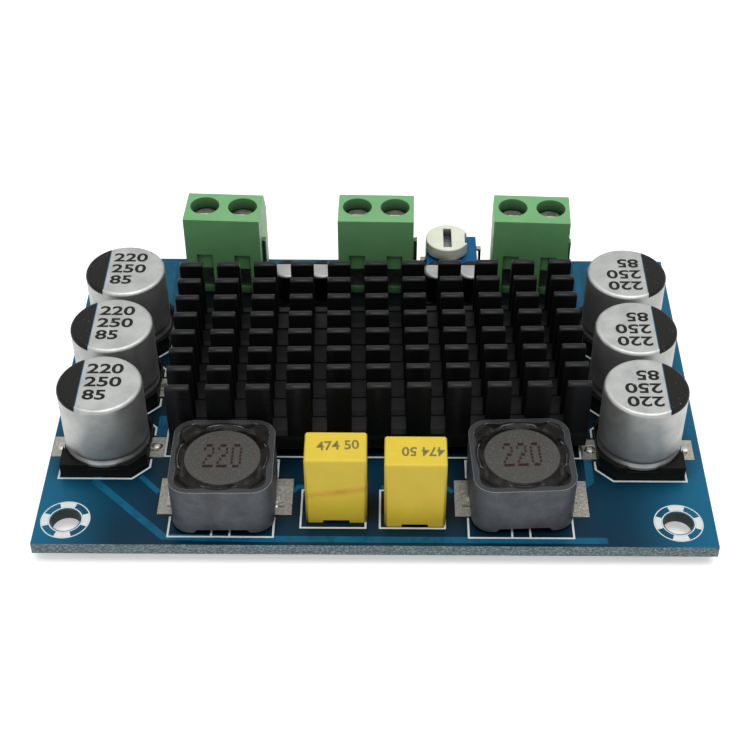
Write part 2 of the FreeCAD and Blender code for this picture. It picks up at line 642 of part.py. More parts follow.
def make_capacitors():
    """Six big capacitors in two columns and four small ones in two pairs, with their leads."""
    sites = []
    for column in SIDES:
        for row in (-1, 0, 1):
            y = "bulk_middle_y + %d * (%s + bulk_gap)" % (row, BULK_BASE)
            x = "%d * %s" % (column, BULK_COLUMN)
            if column < 0 < row:
                x += " + bulk_back_shift"
            sites.append(("bulk", x, y, "90 + %d * 90" % column))
    for pair in (SMALL_LEFT, SMALL_RIGHT):
        for side in SIDES:
            sites.append(("small", "%s + %d * %s / 2" % (pair, side, SMALL_PITCH), SMALL_ROW, "90"))
    made = []
    tabs = []
    counts = {"bulk": 0, "small": 0}
    for family, x, y, turn in sites:
        counts[family] += 1
        number = counts[family]
        made.append(make_can("%s_capacitor_%d" % (family, number), family, x, y, turn))
        made.append(make_can_base("%s_capacitor_base_%d" % (family, number), family, x, y, turn))
        for side in SIDES:
            name = "%s_tab_%d_%s" % (family, number, "inner" if side > 0 else "outer")
            middle = "(%s_tab_reach + tab_gap) / 2" % family
            length = "%s_tab_reach - tab_gap" % family
            wide = "%s_tab_width" % family
            if family == "bulk":
                spot = ("%s + %d * %s" % (x, side, middle), y)
                spans = (length, wide)
            else:
                spot = (x, "%s + %d * %s" % (y, side, middle))
                spans = (wide, length)
            tabs.append(new_box(name, *spot, "board_thickness", *spans, "tab_thickness"))
    made.append(group("capacitor_leads", tabs))
    return made


def make_shield(side_name):
    """A square ferrite shield, bored for the core, with a glue pocket in each corner."""
    shield = new_body("inductor_shield_" + side_name)
    half = "inductor_width / 2"
    sketch = new_sketch(shield, offset="inductor_clip_thickness")
    draw_rectangle(sketch, "-" + half, "-" + half, half, half)
    block = pad(shield, sketch, "inductor_height - inductor_clip_thickness")
    soften(shield, "Fillet", block, is_upright, "inductor_corner")
    bore = new_sketch(shield)
    draw_circle(bore, "0", "0", INDUCTOR_BORE)
    pocket(shield, bore, "inductor_height", upward=True)
    corners = new_sketch(shield, offset="inductor_height")
    mouth = "(%s - inductor_gap) / 2" % INDUCTOR_BORE
    outline = [
        (mouth, "-inductor_pocket_inner / 2"),
        (POCKET_REACH, "-inductor_pocket_outer / 2"),
        (POCKET_REACH, "inductor_pocket_outer / 2"),
        (mouth, "inductor_pocket_inner / 2"),
    ]
    for x in SIDES:
        for y in SIDES:
            across = ["%d * (%s - %s) / sqrt(2)" % (x, out, along) for out, along in outline]
            ahead = ["%d * (%s + %s) / sqrt(2)" % (y, out, along) for out, along in outline]
            draw_outline(corners, list(zip(across, ahead)))
    pockets = pocket(shield, corners, "inductor_pocket_depth")
    reach = size("inductor_width") / math.sqrt(2) - size("inductor_pocket_wall")
    corner_reach = math.hypot(reach, size("inductor_pocket_outer") / 2)

    def is_pocket_corner(box):
        return is_upright(box) and abs(math.hypot(box.XMin, box.YMin) - corner_reach) < 0.01

    soften(shield, "Fillet", pockets, is_pocket_corner, "inductor_pocket_round")
    notch = new_sketch(shield, "XZ_Plane")
    top = "inductor_notch_width / 2"
    foot = "(inductor_notch_width / 2 + inductor_notch_slope)"
    draw_outline(notch, [
        ("-" + foot, "0"),
        (foot, "0"),
        (foot, "inductor_clip_thickness"),
        (top, "inductor_clip_thickness + inductor_notch_height"),
        ("-" + top, "inductor_clip_thickness + inductor_notch_height"),
        ("-" + foot, "inductor_clip_thickness"),
    ])
    pocket(shield, notch, "2 * inductor_width", symmetric=True)
    return shield


def make_core(side_name):
    """A drum core and the coil between its flanges."""
    core = new_body("inductor_core_" + side_name)
    rim = "(%s / 2 - inductor_gap)" % INDUCTOR_BORE
    low = "inductor_clip_thickness"
    top = "(inductor_height - inductor_core_drop)"
    revolve(core, [
        ("0", low),
        (rim, low),
        (rim, low + " + inductor_flange"),
        ("inductor_post / 2", low + " + inductor_flange"),
        ("inductor_post / 2", top + " - inductor_flange"),
        (rim, top + " - inductor_flange"),
        (rim, top),
        ("0", top),
    ])
    winding = new_body("inductor_winding_" + side_name)
    revolve(winding, [
        ("inductor_post / 2", low + " + inductor_flange"),
        (rim + " - inductor_coil_gap", low + " + inductor_flange"),
        (rim + " - inductor_coil_gap", top + " - inductor_flange"),
        ("inductor_post / 2", top + " - inductor_flange"),
    ])
    return [core, winding]


def make_clips(side_name):
    """Two flat clips that come out from under the shield."""
    clips = []
    for side in SIDES:
        middle = "%d * (inductor_clip_inner + %s) / 2" % (side, CLIP_REACH)
        name = "inductor_clip_%s_%s" % (side_name, "outer" if side > 0 else "inner")
        clips.append(new_box(name, middle, "0", "0", CLIP_REACH + " - inductor_clip_inner",
                             "inductor_clip_width", "inductor_clip_thickness"))
    return group("inductor_clips_" + side_name, clips)


def make_inductors():
    """Two shielded inductors, each turned a little on its pads."""
    made = []
    clips = []
    for side_name, x, y in (("left", "-" + INDUCTOR_X, INDUCTOR_Y),
                            ("right", INDUCTOR_X, INDUCTOR_Y + " + inductor_stagger")):
        pieces = [make_shield(side_name)] + make_core(side_name)
        pair = make_clips(side_name)
        for piece in pieces + [pair]:
            place(piece, x, y, "board_thickness", "inductor_skew_" + side_name)
        made.extend(pieces)
        clips.append(pair)
    return made + [group("inductor_clips", clips)]


def make_film_capacitors():
    """Two potted boxes, each on four corner feet, and their straight leads."""
    made = []
    leads = []
    for side_name, x, y in FILMS:
        body = new_body("film_capacitor_" + side_name)
        sketch = new_sketch(body)
        draw_rectangle(sketch, "-film_width / 2", "-film_depth / 2", "film_width / 2", "film_depth / 2")
        block = pad(body, sketch, "film_height")
        soften(body, "Fillet", block, lambda box: box.ZMax > 0.01, "film_edge")
        across = "(film_width / 2 - film_foot_width)"
        along = "(film_depth / 2 - film_foot_depth)"
        for hollow in (("-" + across, "-film_depth / 2", across, "film_depth / 2"),
                       ("-film_width / 2", "-" + along, "film_width / 2", along)):
            cut_rectangles(body, "0", "film_foot_height", [hollow])
        place(body, x, y, "board_thickness")
        made.append(body)
        for end in SIDES:
            across = "%s + %d * film_lead_pitch / 2" % (x, end)
            name = "film_lead_%s_%s" % (side_name, "right" if end > 0 else "left")
            leads.append(new_cylinder(name, across, y, LEAD_FOOT, "film_lead_diameter",
                                      "lead_protrusion + board_thickness + film_foot_height"))
    return made + [group("film_capacitor_leads", leads)]


def make_housing(side_name, centre, skew):
    """A two-pole housing: wells over the screws, clamp shafts, wire entries and rear windows."""
    body = new_body("terminal_housing_" + side_name)
    side_view = new_sketch(body, "YZ_Plane")
    draw_outline(side_view, [
        ("0", "0"),
        ("terminal_depth", "0"),
        ("terminal_depth", "terminal_shoulder"),
        ("terminal_top_depth", "terminal_height"),
        ("0", "terminal_height"),
    ])
    pad(body, side_view, "2 * pole_pitch", symmetric=True)
    rib = new_sketch(body)
    draw_dovetail(rib, "pole_pitch", "0")
    pad(body, rib, "rib_height")
    groove = new_sketch(body)
    draw_dovetail(groove, "-pole_pitch", "rib_play")
    pocket(body, groove, "rib_height + rib_play", upward=True)
    shafts = []
    leg_slots = []
    pin_slots = []
    entries = []
    recesses = []
    windows = []
    wells = new_sketch(body, offset="terminal_height")
    for pole in SIDES:
        middle = "%d * pole_pitch / 2" % pole
        shaft = "(%s / 2 + cage_play)" % CAGE_WIDTH
        rear = "(screw_axis_y - cage_depth / 2 - cage_play)"
        shafts.append((middle + " - " + shaft, rear, middle + " + " + shaft,
                       "screw_axis_y + cage_depth / 2 + cage_play"))
        leg_slots.append((middle + " - strip_width / 2", "strip_leg_y", middle + " + strip_width / 2",
                          "screw_axis_y"))
        pin_slots.append((middle + " - pin_width / 2", "strip_leg_y", middle + " + pin_width / 2",
                          "strip_leg_y + strip_thickness"))
        entry = "((%s - cage_wall) / 2)" % CAGE_WIDTH
        entries.append((middle + " - " + entry, "screw_axis_y", middle + " + " + entry, "2 * terminal_depth"))
        window = "window_width / 2"
        recesses.append((middle + " - " + window, "-recess_depth", middle + " + " + window, "recess_depth"))
        windows.append((middle + " - " + window, "-recess_depth", middle + " + " + window, "strip_leg_y"))
        draw_circle(wells, middle, "screw_axis_y", "screw_well_diameter")
    cut_rectangles(body, "terminal_floor", WELL_FLOOR + " - terminal_floor", shafts)
    cut_rectangles(body, "terminal_floor", STRIP_TOP + " - terminal_floor", leg_slots)
    cut_rectangles(body, "0", "terminal_floor", pin_slots)
    cut_rectangles(body, "wire_entry_sill", STRIP_TOP + " - wire_entry_sill", entries)
    cut_rectangles(body, "0", "recess_top", recesses)
    cut_rectangles(body, "window_sill", "strip_height - window_sill", windows)
    pocket(body, wells, "terminal_height - " + WELL_FLOOR)
    place(body, centre, TERMINAL_REAR, "board_thickness", skew)
    return body


def draw_dovetail(sketch, wall, play):
    """The rib that joins two housings, and with some play the groove that takes it."""
    root = "(rib_width / 2 - rib_taper + %s)" % play
    tip = "(rib_width / 2 + %s)" % play
    reach = "(rib_reach + %s)" % play
    draw_outline(sketch, [
        (wall, "rib_y - " + root),
        (wall + " + " + reach, "rib_y - " + tip),
        (wall + " + " + reach, "rib_y + " + tip),
        (wall, "rib_y + " + root),
    ])


def place_at_pole(body, centre, skew, pole):
    """Stand a body on the screw axis of one pole, turned with its housing."""
    across = "%d * pole_pitch / 2" % pole
    x = "%s + (%s) * cos(%s) - screw_axis_y * sin(%s)" % (centre, across, skew, skew)
    y = "%s + (%s) * sin(%s) + screw_axis_y * cos(%s)" % (TERMINAL_REAR, across, skew, skew)
    place(body, x, y, "board_thickness", skew)


def make_terminal_screw(number):
    """A captive slotted screw whose tip bears on the contact strip."""
    body = new_body("terminal_screw_%d" % number)
    radius = "screw_diameter / 2"
    head = "screw_head_diameter / 2"
    tip = "(%s + screw_play)" % STRIP_TOP
    top = "(%s + screw_head_height)" % WELL_FLOOR
    bevel = "screw_slot_depth / 3"
    revolve(body, [
        ("0", tip),
        ("%s - %s" % (radius, bevel), tip),
        (radius, "%s + %s" % (tip, bevel)),
        (radius, WELL_FLOOR),
        (head, WELL_FLOOR),
        (head, "%s - %s" % (top, bevel)),
        ("%s - %s" % (head, bevel), top),
        ("0", top),
    ])
    slot = new_sketch(body, offset=top)
    draw_rectangle(slot, "-screw_head_diameter", "-screw_slot_width / 2",
                   "screw_head_diameter", "screw_slot_width / 2")
    pocket(body, slot, "screw_slot_depth")
    return body


def make_wire_clamp(number):
    """A rising cage: a square band with a threaded roof that lifts the wire to the strip."""
    body = new_body("wire_clamp_%d" % number)
    band = new_sketch(body, "XZ_Plane")
    side = CAGE_WIDTH + " / 2"
    draw_rectangle(band, "-" + side, CAGE_FLOOR, side, CAGE_TOP)
    draw_rectangle(band, "-" + side + " + cage_wall", CAGE_FLOOR + " + cage_wall",
                   side + " - cage_wall", CAGE_TOP + " - cage_roof")
    pad(body, band, "cage_depth", symmetric=True)
    thread = new_sketch(body, offset=CAGE_TOP)
    draw_circle(thread, "0", "0", "screw_diameter + 2 * screw_play")
    pocket(body, thread, "cage_roof")
    return body


def make_contact(name, centre, skew, pole):
    """A bent strip: flat under the screw tip, down behind the cage, and a pin through the board."""
    body = new_body(name)
    bend = new_sketch(body, "YZ_Plane")
    tip = "(screw_axis_y + cage_depth / 2 + strip_thickness)"
    foot = "(-board_thickness - lead_protrusion)"
    draw_outline(bend, [
        ("strip_leg_y", foot),
        ("strip_leg_y + strip_thickness", foot),
        ("strip_leg_y + strip_thickness", "strip_height"),
        (tip, "strip_height"),
        (tip, STRIP_TOP),
        ("strip_leg_y", STRIP_TOP),
    ])
    pad(body, bend, "strip_width", symmetric=True)
    spare = [
        ("-strip_width", "0", "-pin_width / 2", tip),
        ("pin_width / 2", "0", "strip_width", tip),
    ]
    cut_rectangles(body, foot, "terminal_floor - " + foot, spare)
    across = "%d * pole_pitch / 2" % pole
    x = "%s + (%s) * cos(%s)" % (centre, across, skew)
    y = "%s + (%s) * sin(%s)" % (TERMINAL_REAR, across, skew)
    place(body, x, y, "board_thickness", skew)
    return body


def make_terminals():
    made = []
    contacts = []
    number = 0
    for side_name, centre, skew in TERMINALS:
        made.append(make_housing(side_name, centre, skew))
        for pole in SIDES:
            number += 1
            for body in (make_terminal_screw(number), make_wire_clamp(number)):
                place_at_pole(body, centre, skew, pole)
                made.append(body)
            contacts.append(make_contact("contact_%d" % number, centre, skew, pole))
    return made + [group("terminal_contacts", contacts)]


def make_trimmer():
    """A trimmer: moulded body, slotted dial on a hub, wiper spring and three formed pins."""
    body = new_body("trimmer_body")
    sketch = new_sketch(body, offset="trimmer_foot")
    draw_rectangle(sketch, "-trimmer_width / 2", "-trimmer_depth / 2", "trimmer_width / 2", "trimmer_depth / 2")
    pad(body, sketch, "trimmer_height - trimmer_foot")
    hub_hole = new_sketch(body, offset="trimmer_height")
    draw_circle(hub_hole, "dial_offset", "0", "hub_diameter + 2 * hub_play")
    pocket(body, hub_hole, "hub_length + hub_play")
    place(body, TRIMMER_X, TRIMMER_Y, "board_thickness")

    dial = new_body("trimmer_dial")
    wiper_floor = "(trimmer_height + wiper_play)"
    dial_floor = "(trimmer_height + wiper_play + wiper_thickness)"
    disc = new_sketch(dial, offset=dial_floor)
    draw_circle(disc, "0", "0", "dial_diameter")
    pad(dial, disc, "dial_top - " + dial_floor)
    hub = new_sketch(dial, offset="trimmer_height - hub_length")
    draw_circle(hub, "0", "0", "hub_diameter")
    pad(dial, hub, "hub_length + wiper_play + wiper_thickness")
    cut_rectangles(dial, "dial_top - dial_slot_depth", "dial_top", [
        ("-dial_slot_width / 2", "-dial_slot_length / 2", "dial_slot_width / 2", "dial_slot_length / 2"),
    ])
    cut_rectangles(dial, dial_floor, "dial_top", [
        ("dial_diameter / 2 - dial_notch_depth", "-dial_notch_width / 2",
         "dial_diameter", "dial_notch_width / 2"),
    ])
    wiper = new_body("trimmer_wiper")
    ring = new_sketch(wiper, offset=wiper_floor)
    draw_circle(ring, "0", "0", "wiper_diameter")
    draw_circle(ring, "0", "0", "hub_diameter")
    pad(wiper, ring, "wiper_thickness")
    for turning in (dial, wiper):
        place(turning, TRIMMER_X + " + dial_offset", TRIMMER_Y, "board_thickness")

    pins = []
    for number, (x, y) in enumerate(((-1, 0), (1, -1), (1, 1)), start=1):
        pin = new_body("trimmer_pin_%d" % number)
        bend = new_sketch(pin, "XZ_Plane")
        wall = "trimmer_width / 2"
        out = TRIMMER_SIDE
        foot = "(-board_thickness - lead_protrusion)"
        draw_outline(bend, [
            (wall, "trimmer_pin_height"),
            (out, "trimmer_pin_height"),
            (out, foot),
            (out + " - trimmer_pin_thickness", foot),
            (out + " - trimmer_pin_thickness", "trimmer_pin_height - trimmer_pin_thickness"),
            (wall, "trimmer_pin_height - trimmer_pin_thickness"),
        ])
        pad(pin, bend, "trimmer_pin_width", symmetric=True)
        along = "%s + %d * trimmer_pin_spread" % (TRIMMER_Y, y)
        place(pin, TRIMMER_X, along, "board_thickness", "90 - %d * 90" % x)
        pins.append(pin)
    return [body, dial, wiper, group("trimmer_pins", pins)]


def check_and_export(nodes):
    """Stop on any failed object or bad shape, then write one file for each node."""
    DOC.recompute()
    for thing in DOC.Objects:
        for word in ("Invalid", "Error"):
            if word in thing.State:
                raise RuntimeError("%s is in state %s" % (thing.Label, thing.State))
    os.makedirs("parts", exist_ok=True)
    for node in nodes:
        if node.Shape.isNull() or not node.Shape.isValid() or not node.Shape.Solids:
            raise RuntimeError("%s has no valid solid" % node.Label)
    for node in nodes:
        node.Shape.exportStep("parts/%s.step" % node.Label)
        print("%-28s %2d solids %10.3f mm3" % (node.Label, len(node.Shape.Solids), node.Shape.Volume))
    print("%d nodes" % len(nodes))


NODES = (make_board() + make_heatsink() + make_sink_screws() + make_chip() + make_small_parts()
         + make_capacitors() + make_inductors() + make_film_capacitors() + make_terminals()
         + make_trimmer())
check_and_export(NODES)
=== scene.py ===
import math

import bmesh
import bpy
from mathutils import Matrix, Vector


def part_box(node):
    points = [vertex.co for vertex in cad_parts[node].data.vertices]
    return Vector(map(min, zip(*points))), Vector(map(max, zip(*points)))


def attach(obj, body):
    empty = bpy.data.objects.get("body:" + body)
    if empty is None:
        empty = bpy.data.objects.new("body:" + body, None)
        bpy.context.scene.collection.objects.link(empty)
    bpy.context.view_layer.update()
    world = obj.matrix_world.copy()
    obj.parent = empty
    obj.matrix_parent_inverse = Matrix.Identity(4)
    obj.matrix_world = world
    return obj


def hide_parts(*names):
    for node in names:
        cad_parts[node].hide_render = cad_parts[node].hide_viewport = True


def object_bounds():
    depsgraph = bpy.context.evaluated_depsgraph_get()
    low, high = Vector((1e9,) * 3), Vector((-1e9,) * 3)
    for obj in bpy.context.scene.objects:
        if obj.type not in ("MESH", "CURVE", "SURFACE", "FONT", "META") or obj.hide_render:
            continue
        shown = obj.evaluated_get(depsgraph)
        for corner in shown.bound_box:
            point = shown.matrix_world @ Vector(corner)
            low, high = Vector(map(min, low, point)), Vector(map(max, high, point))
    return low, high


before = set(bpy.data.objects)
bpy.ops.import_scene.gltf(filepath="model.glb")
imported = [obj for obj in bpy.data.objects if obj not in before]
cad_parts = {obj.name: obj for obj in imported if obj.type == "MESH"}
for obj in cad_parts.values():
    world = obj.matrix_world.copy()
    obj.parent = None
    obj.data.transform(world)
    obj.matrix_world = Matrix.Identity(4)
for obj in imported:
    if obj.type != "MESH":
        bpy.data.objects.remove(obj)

bl_info = {
    "name": "Audio Amplifier Board",
    "version": (1, 0, 0),
    "blender": (4, 5, 0),
    "location": "3D View > Sidebar > Amplifier",
    "description": "Finishes, prints and solder of a power amplifier board, built on its solid parts",
    "category": "Add Mesh",
}

CAD_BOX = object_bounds()
MM = 0.001
ROOT = "board_assembly"
BOARD_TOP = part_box("circuit_board")[1].z / MM
BULK = ["bulk_capacitor_%d" % number for number in range(1, 7)]
SMALL = ["small_capacitor_%d" % number for number in range(1, 5)]
SIDES = ("left", "right")
PLACES = ("left", "middle", "right")
POLES = range(1, 7)
# From the board's edges to a mounting hole's middle
HOLE_INSET = (3.9, 3.8)
# A can's rounded rim
CAN_LIP = 0.45
# How deep a tooth's foot is sunk into the base plate
SUNK = 0.05
# Places and turns of the inductors' printed squares and pads
INDUCTOR_PRINTS = [(-17.7, -19.35, 0.0, 0.0), (17.45, -19.3, 0.0, 0.0)]
INDUCTOR_PADS = [(-17.5, -19.3, 0.0, 0.0), (17.75, -19.4, 0.0, 0.0)]
# Printed frames of the heat sink and the film capacitors: left, front, right, back
BOARD_PRINTS = [(-25.6, -12.55, 25.5, 12.55), (-8.42, -24.25, -0.78, -18.15), (0.9, -24.25, 8.54, -18.15)]
# Tracks under the mask: points, and a width unless it is the broad band's
TRACK_HEIGHT = 0.012
TRACKS = [
    ([(-33.35, -12.6), (-33.35, -17.0), (-24.3, -25.8), (-14.0, -26.05), (27.5, -26.05)], None),
    ([(-28.1, -16.0), (-25.6, -18.7)], 0.7),
    ([(26.3, -12.6), (26.3, -16.4), (24.2, -18.4)], None),
    ([(-26.4, -5.4), (-26.4, -12.9)], 1.235),
    ([(-9.6, -18.4), (-8.9, -17.6), (-1.0, -17.6)], 0.6),
    ([(9.6, -18.4), (8.9, -17.6), (1.0, -17.6)], 0.6),
    *(([(x, 16.6), (x, 26.2)], width)
      for x, width in ((26.6, 0.9), (28.2, 0.9), (29.8, 0.9), (-26.8, 1.1), (-28.6, 1.1))),
]
# Ink-jet figures as rows of dots, and the columns from one figure to the next
FIGURE_PITCH = 6.8
DOTS = {
    "2": ("01110", "10001", "00001", "00110", "01000", "10000", "11111"),
    "0": ("01110", "10001", "10001", "10001", "10001", "10001", "01110"),
}


def linear(code):
    """The linear colour of an sRGB hex code such as 1D5974."""
    channels = []
    for start in (0, 2, 4):
        value = int(code[start:start + 2], 16) / 255
        channels.append(value / 12.92 if value <= 0.04045 else ((value + 0.055) / 1.055) ** 2.4)
    return (*channels, 1.0)


def length(name, meaning, default):
    """A length of the panel, in metres."""
    return bpy.props.FloatProperty(name=name, description=meaning, default=default, min=0.0,
                                   subtype="DISTANCE", unit="LENGTH", precision=5)


def colour(name, meaning, code):
    """A colour of the panel, from its sRGB hex code."""
    return bpy.props.FloatVectorProperty(name=name, description=meaning, default=linear(code), size=4,
                                         min=0.0, max=1.0, subtype="COLOR")


class BoardSettings(bpy.types.PropertyGroup):
    """Sizes and colours of the circuit board's surface."""

    print_line: length("Print line", "Width of the white printed lines", 0.00023)
    print_height: length("Print height", "Thickness of the printed ink", 0.00002)
    pad_height: length("Pad height", "Thickness of a tinned pad", 0.00005)
    ring_diameter: length("Ring diameter", "Printed ring round a mounting hole", 0.00585)
    copper_band: length("Copper band", "Width of a broad track under the mask", 0.00095)
    mask: colour("Mask", "Solder mask over the middle of the board", "042739")
    # A paler mask, painted near the board's ends as a reflection of the lamp, and towards the back
    mask_paler: colour("Mask at the edge", "Solder mask near the board's ends", "126080")
    mask_on_copper: colour("Mask on copper", "Solder mask over a broad track", "0A4A68")
    ink: colour("Ink", "Printed lines", "DDE2E0")
    laminate: colour("Laminate", "Cut edge of the glass laminate", "65777F")


class CapacitorSettings(bpy.types.PropertyGroup):
    """Sizes and colours of the capacitors."""

    chord: length("Mark chord", "Can's middle to the straight edge of the dark mark", 0.00236)
    digit_height: length("Digit height", "Height of the printed digits", 0.00175)
    can: colour("Can", "Drawn aluminium", "B4B6B3")
    mark: colour("Mark", "Dark print on a can's top", "1F1F1E")
    base: colour("Base", "Black moulded base", "121312")
    yellow: colour("Yellow case", "Film capacitor case", "DDC23A")


class SinkSettings(bpy.types.PropertyGroup):
    """Sizes and colour of the heat sink."""

    plate_length: length("Length", "Heat sink, left to right", 0.0508)
    plate_depth: length("Depth", "Heat sink, front to back", 0.02447)
    plate_thickness: length("Base plate", "Thickness of the base plate", 0.0022)
    stub: length("Stub", "Low ridges that the fins leave in the cross cuts", 0.00015)
    tooth_length: length("Tooth length", "A tooth, left to right", 0.00298)
    tooth_thickness: length("Tooth thickness", "A tooth, front to back", 0.00095)
    column_pitch: length("Column pitch", "From one tooth to the next along a fin", 0.00478)
    row_pitch: length("Row pitch", "From one fin to the next", 0.00336)
    crown: length("Crown", "Rounding along a tooth's top", 0.00036)
    columns: bpy.props.IntProperty(name="Columns", description="Teeth along a fin", default=11, min=1)
    rows: bpy.props.IntProperty(name="Rows", description="Fins", default=8, min=1)
    skew: bpy.props.FloatProperty(name="Skew", description="Turn of the heat sink on the board",
                                  default=math.radians(1.4), subtype="ANGLE", unit="ROTATION")
    black: colour("Black", "Black anodised aluminium", "0C0D0F")


class InductorSettings(bpy.types.PropertyGroup):
    """Sizes and colours of the inductors."""

    digit_height: length("Digit height", "Height of the dotted digits", 0.0034)
    ease: length("Edge", "Rounding of the shield's edges", 0.0002)
    shield: colour("Shield", "Sintered ferrite", "585D64")
    resin: colour("Resin", "Dark potting in the gap", "0C0B09")


class TerminalSettings(bpy.types.PropertyGroup):
    """Sizes and colours of the screw terminals."""

    ease: length("Edge", "Rounding of the housings' edges", 0.00016)
    green: colour("Green", "Moulded polyamide", "74AC75")
    steel: colour("Steel", "Plated screws and clamps", "A9A79F")


class TrimmerSettings(bpy.types.PropertyGroup):
    """Sizes and colours of the level trimmer."""

    ease: length("Edge", "Rounding of the moulded edges", 0.00015)
    blue: colour("Blue", "Moulded body", "125F98")
    cream: colour("Cream", "Moulded dial", "E8E9DA")


class StageSettings(bpy.types.PropertyGroup):
    """Levels of the stage."""

    key_power: bpy.props.FloatProperty(name="Key", description="Power of the soft lamp overhead", default=4.5,
                                       min=0.0, unit="POWER")
    fill_power: bpy.props.FloatProperty(name="Fill", description="Power of the soft lamp in front", default=0.42,
                                        min=0.0, unit="POWER")
    ambient: bpy.props.FloatProperty(name="Ambient", description="Plain light from all round", default=0.39,
                                     min=0.0)
    floor: colour("Floor", "Plain pale floor", "F4F4F3")


def add_node(tree, kind, inputs=None, **settings):
    """Add a node with its settings; inputs are values, or output sockets to link."""
    node = tree.nodes.new(kind)
    for name, value in settings.items():
        setattr(node, name, value)
    for key, value in (inputs or {}).items():
        socket = node.inputs[key]
        if isinstance(value, bpy.types.NodeSocket):
            tree.links.new(value, socket)
        else:
            socket.default_value = value
    return node


def per(millimetres):
    """The texture scale whose features repeat about every so many millimetres."""
    return 1 / (millimetres * MM)


def new_finish(name, **constants):
    """A material with one surface shader and its constant sockets set."""
    material = bpy.data.materials.new(name)
    material.use_nodes = True
    tree = material.node_tree
    tree.nodes.clear()
    words = {key.replace("_", " "): value for key, value in constants.items()}
    shader = add_node(tree, "ShaderNodeBsdfPrincipled", words)
    add_node(tree, "ShaderNodeOutputMaterial", {"Surface": shader.outputs["BSDF"]})
    spot = add_node(tree, "ShaderNodeTexCoord").outputs["Object"]
    return material, tree, shader, spot


def mottle(tree, spot, size, low, high, stretch=(1, 1, 1), detail=3.0):
    """A value between low and high that wanders over features of a size in millimetres."""
    placed = add_node(tree, "ShaderNodeMapping", {"Vector": spot, "Scale": stretch})
    noise = add_node(tree, "ShaderNodeTexNoise", {
        "Vector": placed.outputs["Vector"], "Scale": per(size), "Detail": detail, "Roughness": 0.6})
    return add_node(tree, "ShaderNodeMapRange", {
        "Value": noise.outputs["Fac"], "From Min": 0.3, "From Max": 0.7, "To Min": low, "To Max": high,
    }).outputs["Result"]


def along(tree, vector, axis, start, end, low=0.0, high=1.0, smooth=False, mirrored=False):
    """A value from low to high while a place or a normal goes from start to end on one axis."""
    value = add_node(tree, "ShaderNodeSeparateXYZ", {"Vector": vector}).outputs[axis]
    if mirrored:
        value = add_node(tree, "ShaderNodeMath", {0: value}, operation="ABSOLUTE").outputs[0]
    return add_node(tree, "ShaderNodeMapRange", {
        "Value": value, "From Min": start, "From Max": end, "To Min": low, "To Max": high,
    }, interpolation_type="SMOOTHSTEP" if smooth else "LINEAR").outputs["Result"]


def facing(tree, axis, start, end, **more):
    """A value from low to high while the surface turns from start to end towards an axis."""
    return along(tree, add_node(tree, "ShaderNodeNewGeometry").outputs["Normal"], axis, start, end, **more)


def hollow(tree, reach, open_at=0.85, low=0.0, high=1.0):
    """A value from low in the open to high in holes and between parts a reach in millimetres apart."""
    sky = add_node(tree, "ShaderNodeAmbientOcclusion", {"Distance": reach * MM}, samples=8).outputs["AO"]
    return add_node(tree, "ShaderNodeMapRange", {
        "Value": sky, "From Min": 0.3, "From Max": open_at, "To Min": high, "To Max": low,
    }).outputs["Result"]


def overlap(tree, first, *shares):
    """The share where all of some shares hold."""
    for share in shares:
        first = add_node(tree, "ShaderNodeMath", {0: first, 1: share}, operation="MULTIPLY").outputs[0]
    return first


def layered(tree, shade, *layers):
    """A shade under layers of others, each with its share; hex codes become linear colours."""
    shade = linear(shade) if isinstance(shade, str) else shade
    for other, share in layers:
        other = linear(other) if isinstance(other, str) else other
        shade = add_node(tree, "ShaderNodeMix", {0: share, 6: shade, 7: other}, data_type="RGBA").outputs[2]
    return shade


# Stretch and detail of a mottle
DRAW_LINES = ((0.02, 1, 1), 2.0)
COARSE = ((1, 1, 1), 6.0)
SOFT = ((1, 1, 1), 1.0)


def in_hollows(reach):
    """Where shade is painted: in holes and between parts a reach in millimetres apart, where little light comes.
    """
    return lambda tree, spot: hollow(tree, reach)


def darker_level_top(tree, spot):
    """The level top of a shield, where the surface faces up; the finish is made darker there."""
    return facing(tree, "Z", 0.8, 0.98)


def painted_edge_highlight(tree, spot):
    """A painted highlight: a bright line on the eased edge between a shield's top and its sides."""
    return overlap(tree, facing(tree, "Z", 0.1, 0.45), facing(tree, "Z", 0.97, 0.75))


def painted_groove_shade(node):
    """A painted dark band above a can's bead: painted shade and a painted reflection of the black base, where the
    groove is rolled in.
    """
    low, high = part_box(node)
    tall = high.z - low.z
    groove = low.z + 0.14 * tall
    wide = 0.07 * tall
    return lambda tree, spot: overlap(tree, along(tree, spot, "Z", groove - wide, groove, smooth=True),
                                      along(tree, spot, "Z", groove + wide, groove, smooth=True), 0.75)


def painted_front_shade(tree, spot):
    """Painted shade on the side of a small can that faces the heat sink, for the black sink that it mirrors."""
    return overlap(tree, hollow(tree, 14.0), facing(tree, "Y", 0.1, -0.35))


def pin_pricks(tree, spot):
    """A few specks where ink has come off."""
    return add_node(tree, "ShaderNodeMath", {0: mottle(tree, spot, 0.3, -0.6, 1.1, (1, 1, 1), 6.0), 1: 1.02},
                    operation="GREATER_THAN").outputs[0]


def rubbed_streak(tree, spot):
    """A streak about 1 mm wide that climbs to the right, low on the left film capacitor's front."""
    low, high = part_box("film_capacitor_left")
    climb = along(tree, spot, "X", low.x, high.x, low.z + 0.0044, low.z + 0.0057)
    level = add_node(tree, "ShaderNodeSeparateXYZ", {"Vector": spot}).outputs["Z"]
    off = add_node(tree, "ShaderNodeMath", {0: level, 1: climb}, operation="SUBTRACT").outputs[0]
    away = add_node(tree, "ShaderNodeMath", {0: off}, operation="ABSOLUTE").outputs[0]
    band = add_node(tree, "ShaderNodeMapRange", {"Value": away, "From Max": 0.0007, "To Min": 1.0, "To Max": 0.0})
    left_only = along(tree, spot, "X", high.x + 0.0006, high.x + 0.0004)
    return overlap(tree, band.outputs["Result"], mottle(tree, spot, 0.9, 0.2, 1.0, (0.35, 1, 1.6)), left_only)


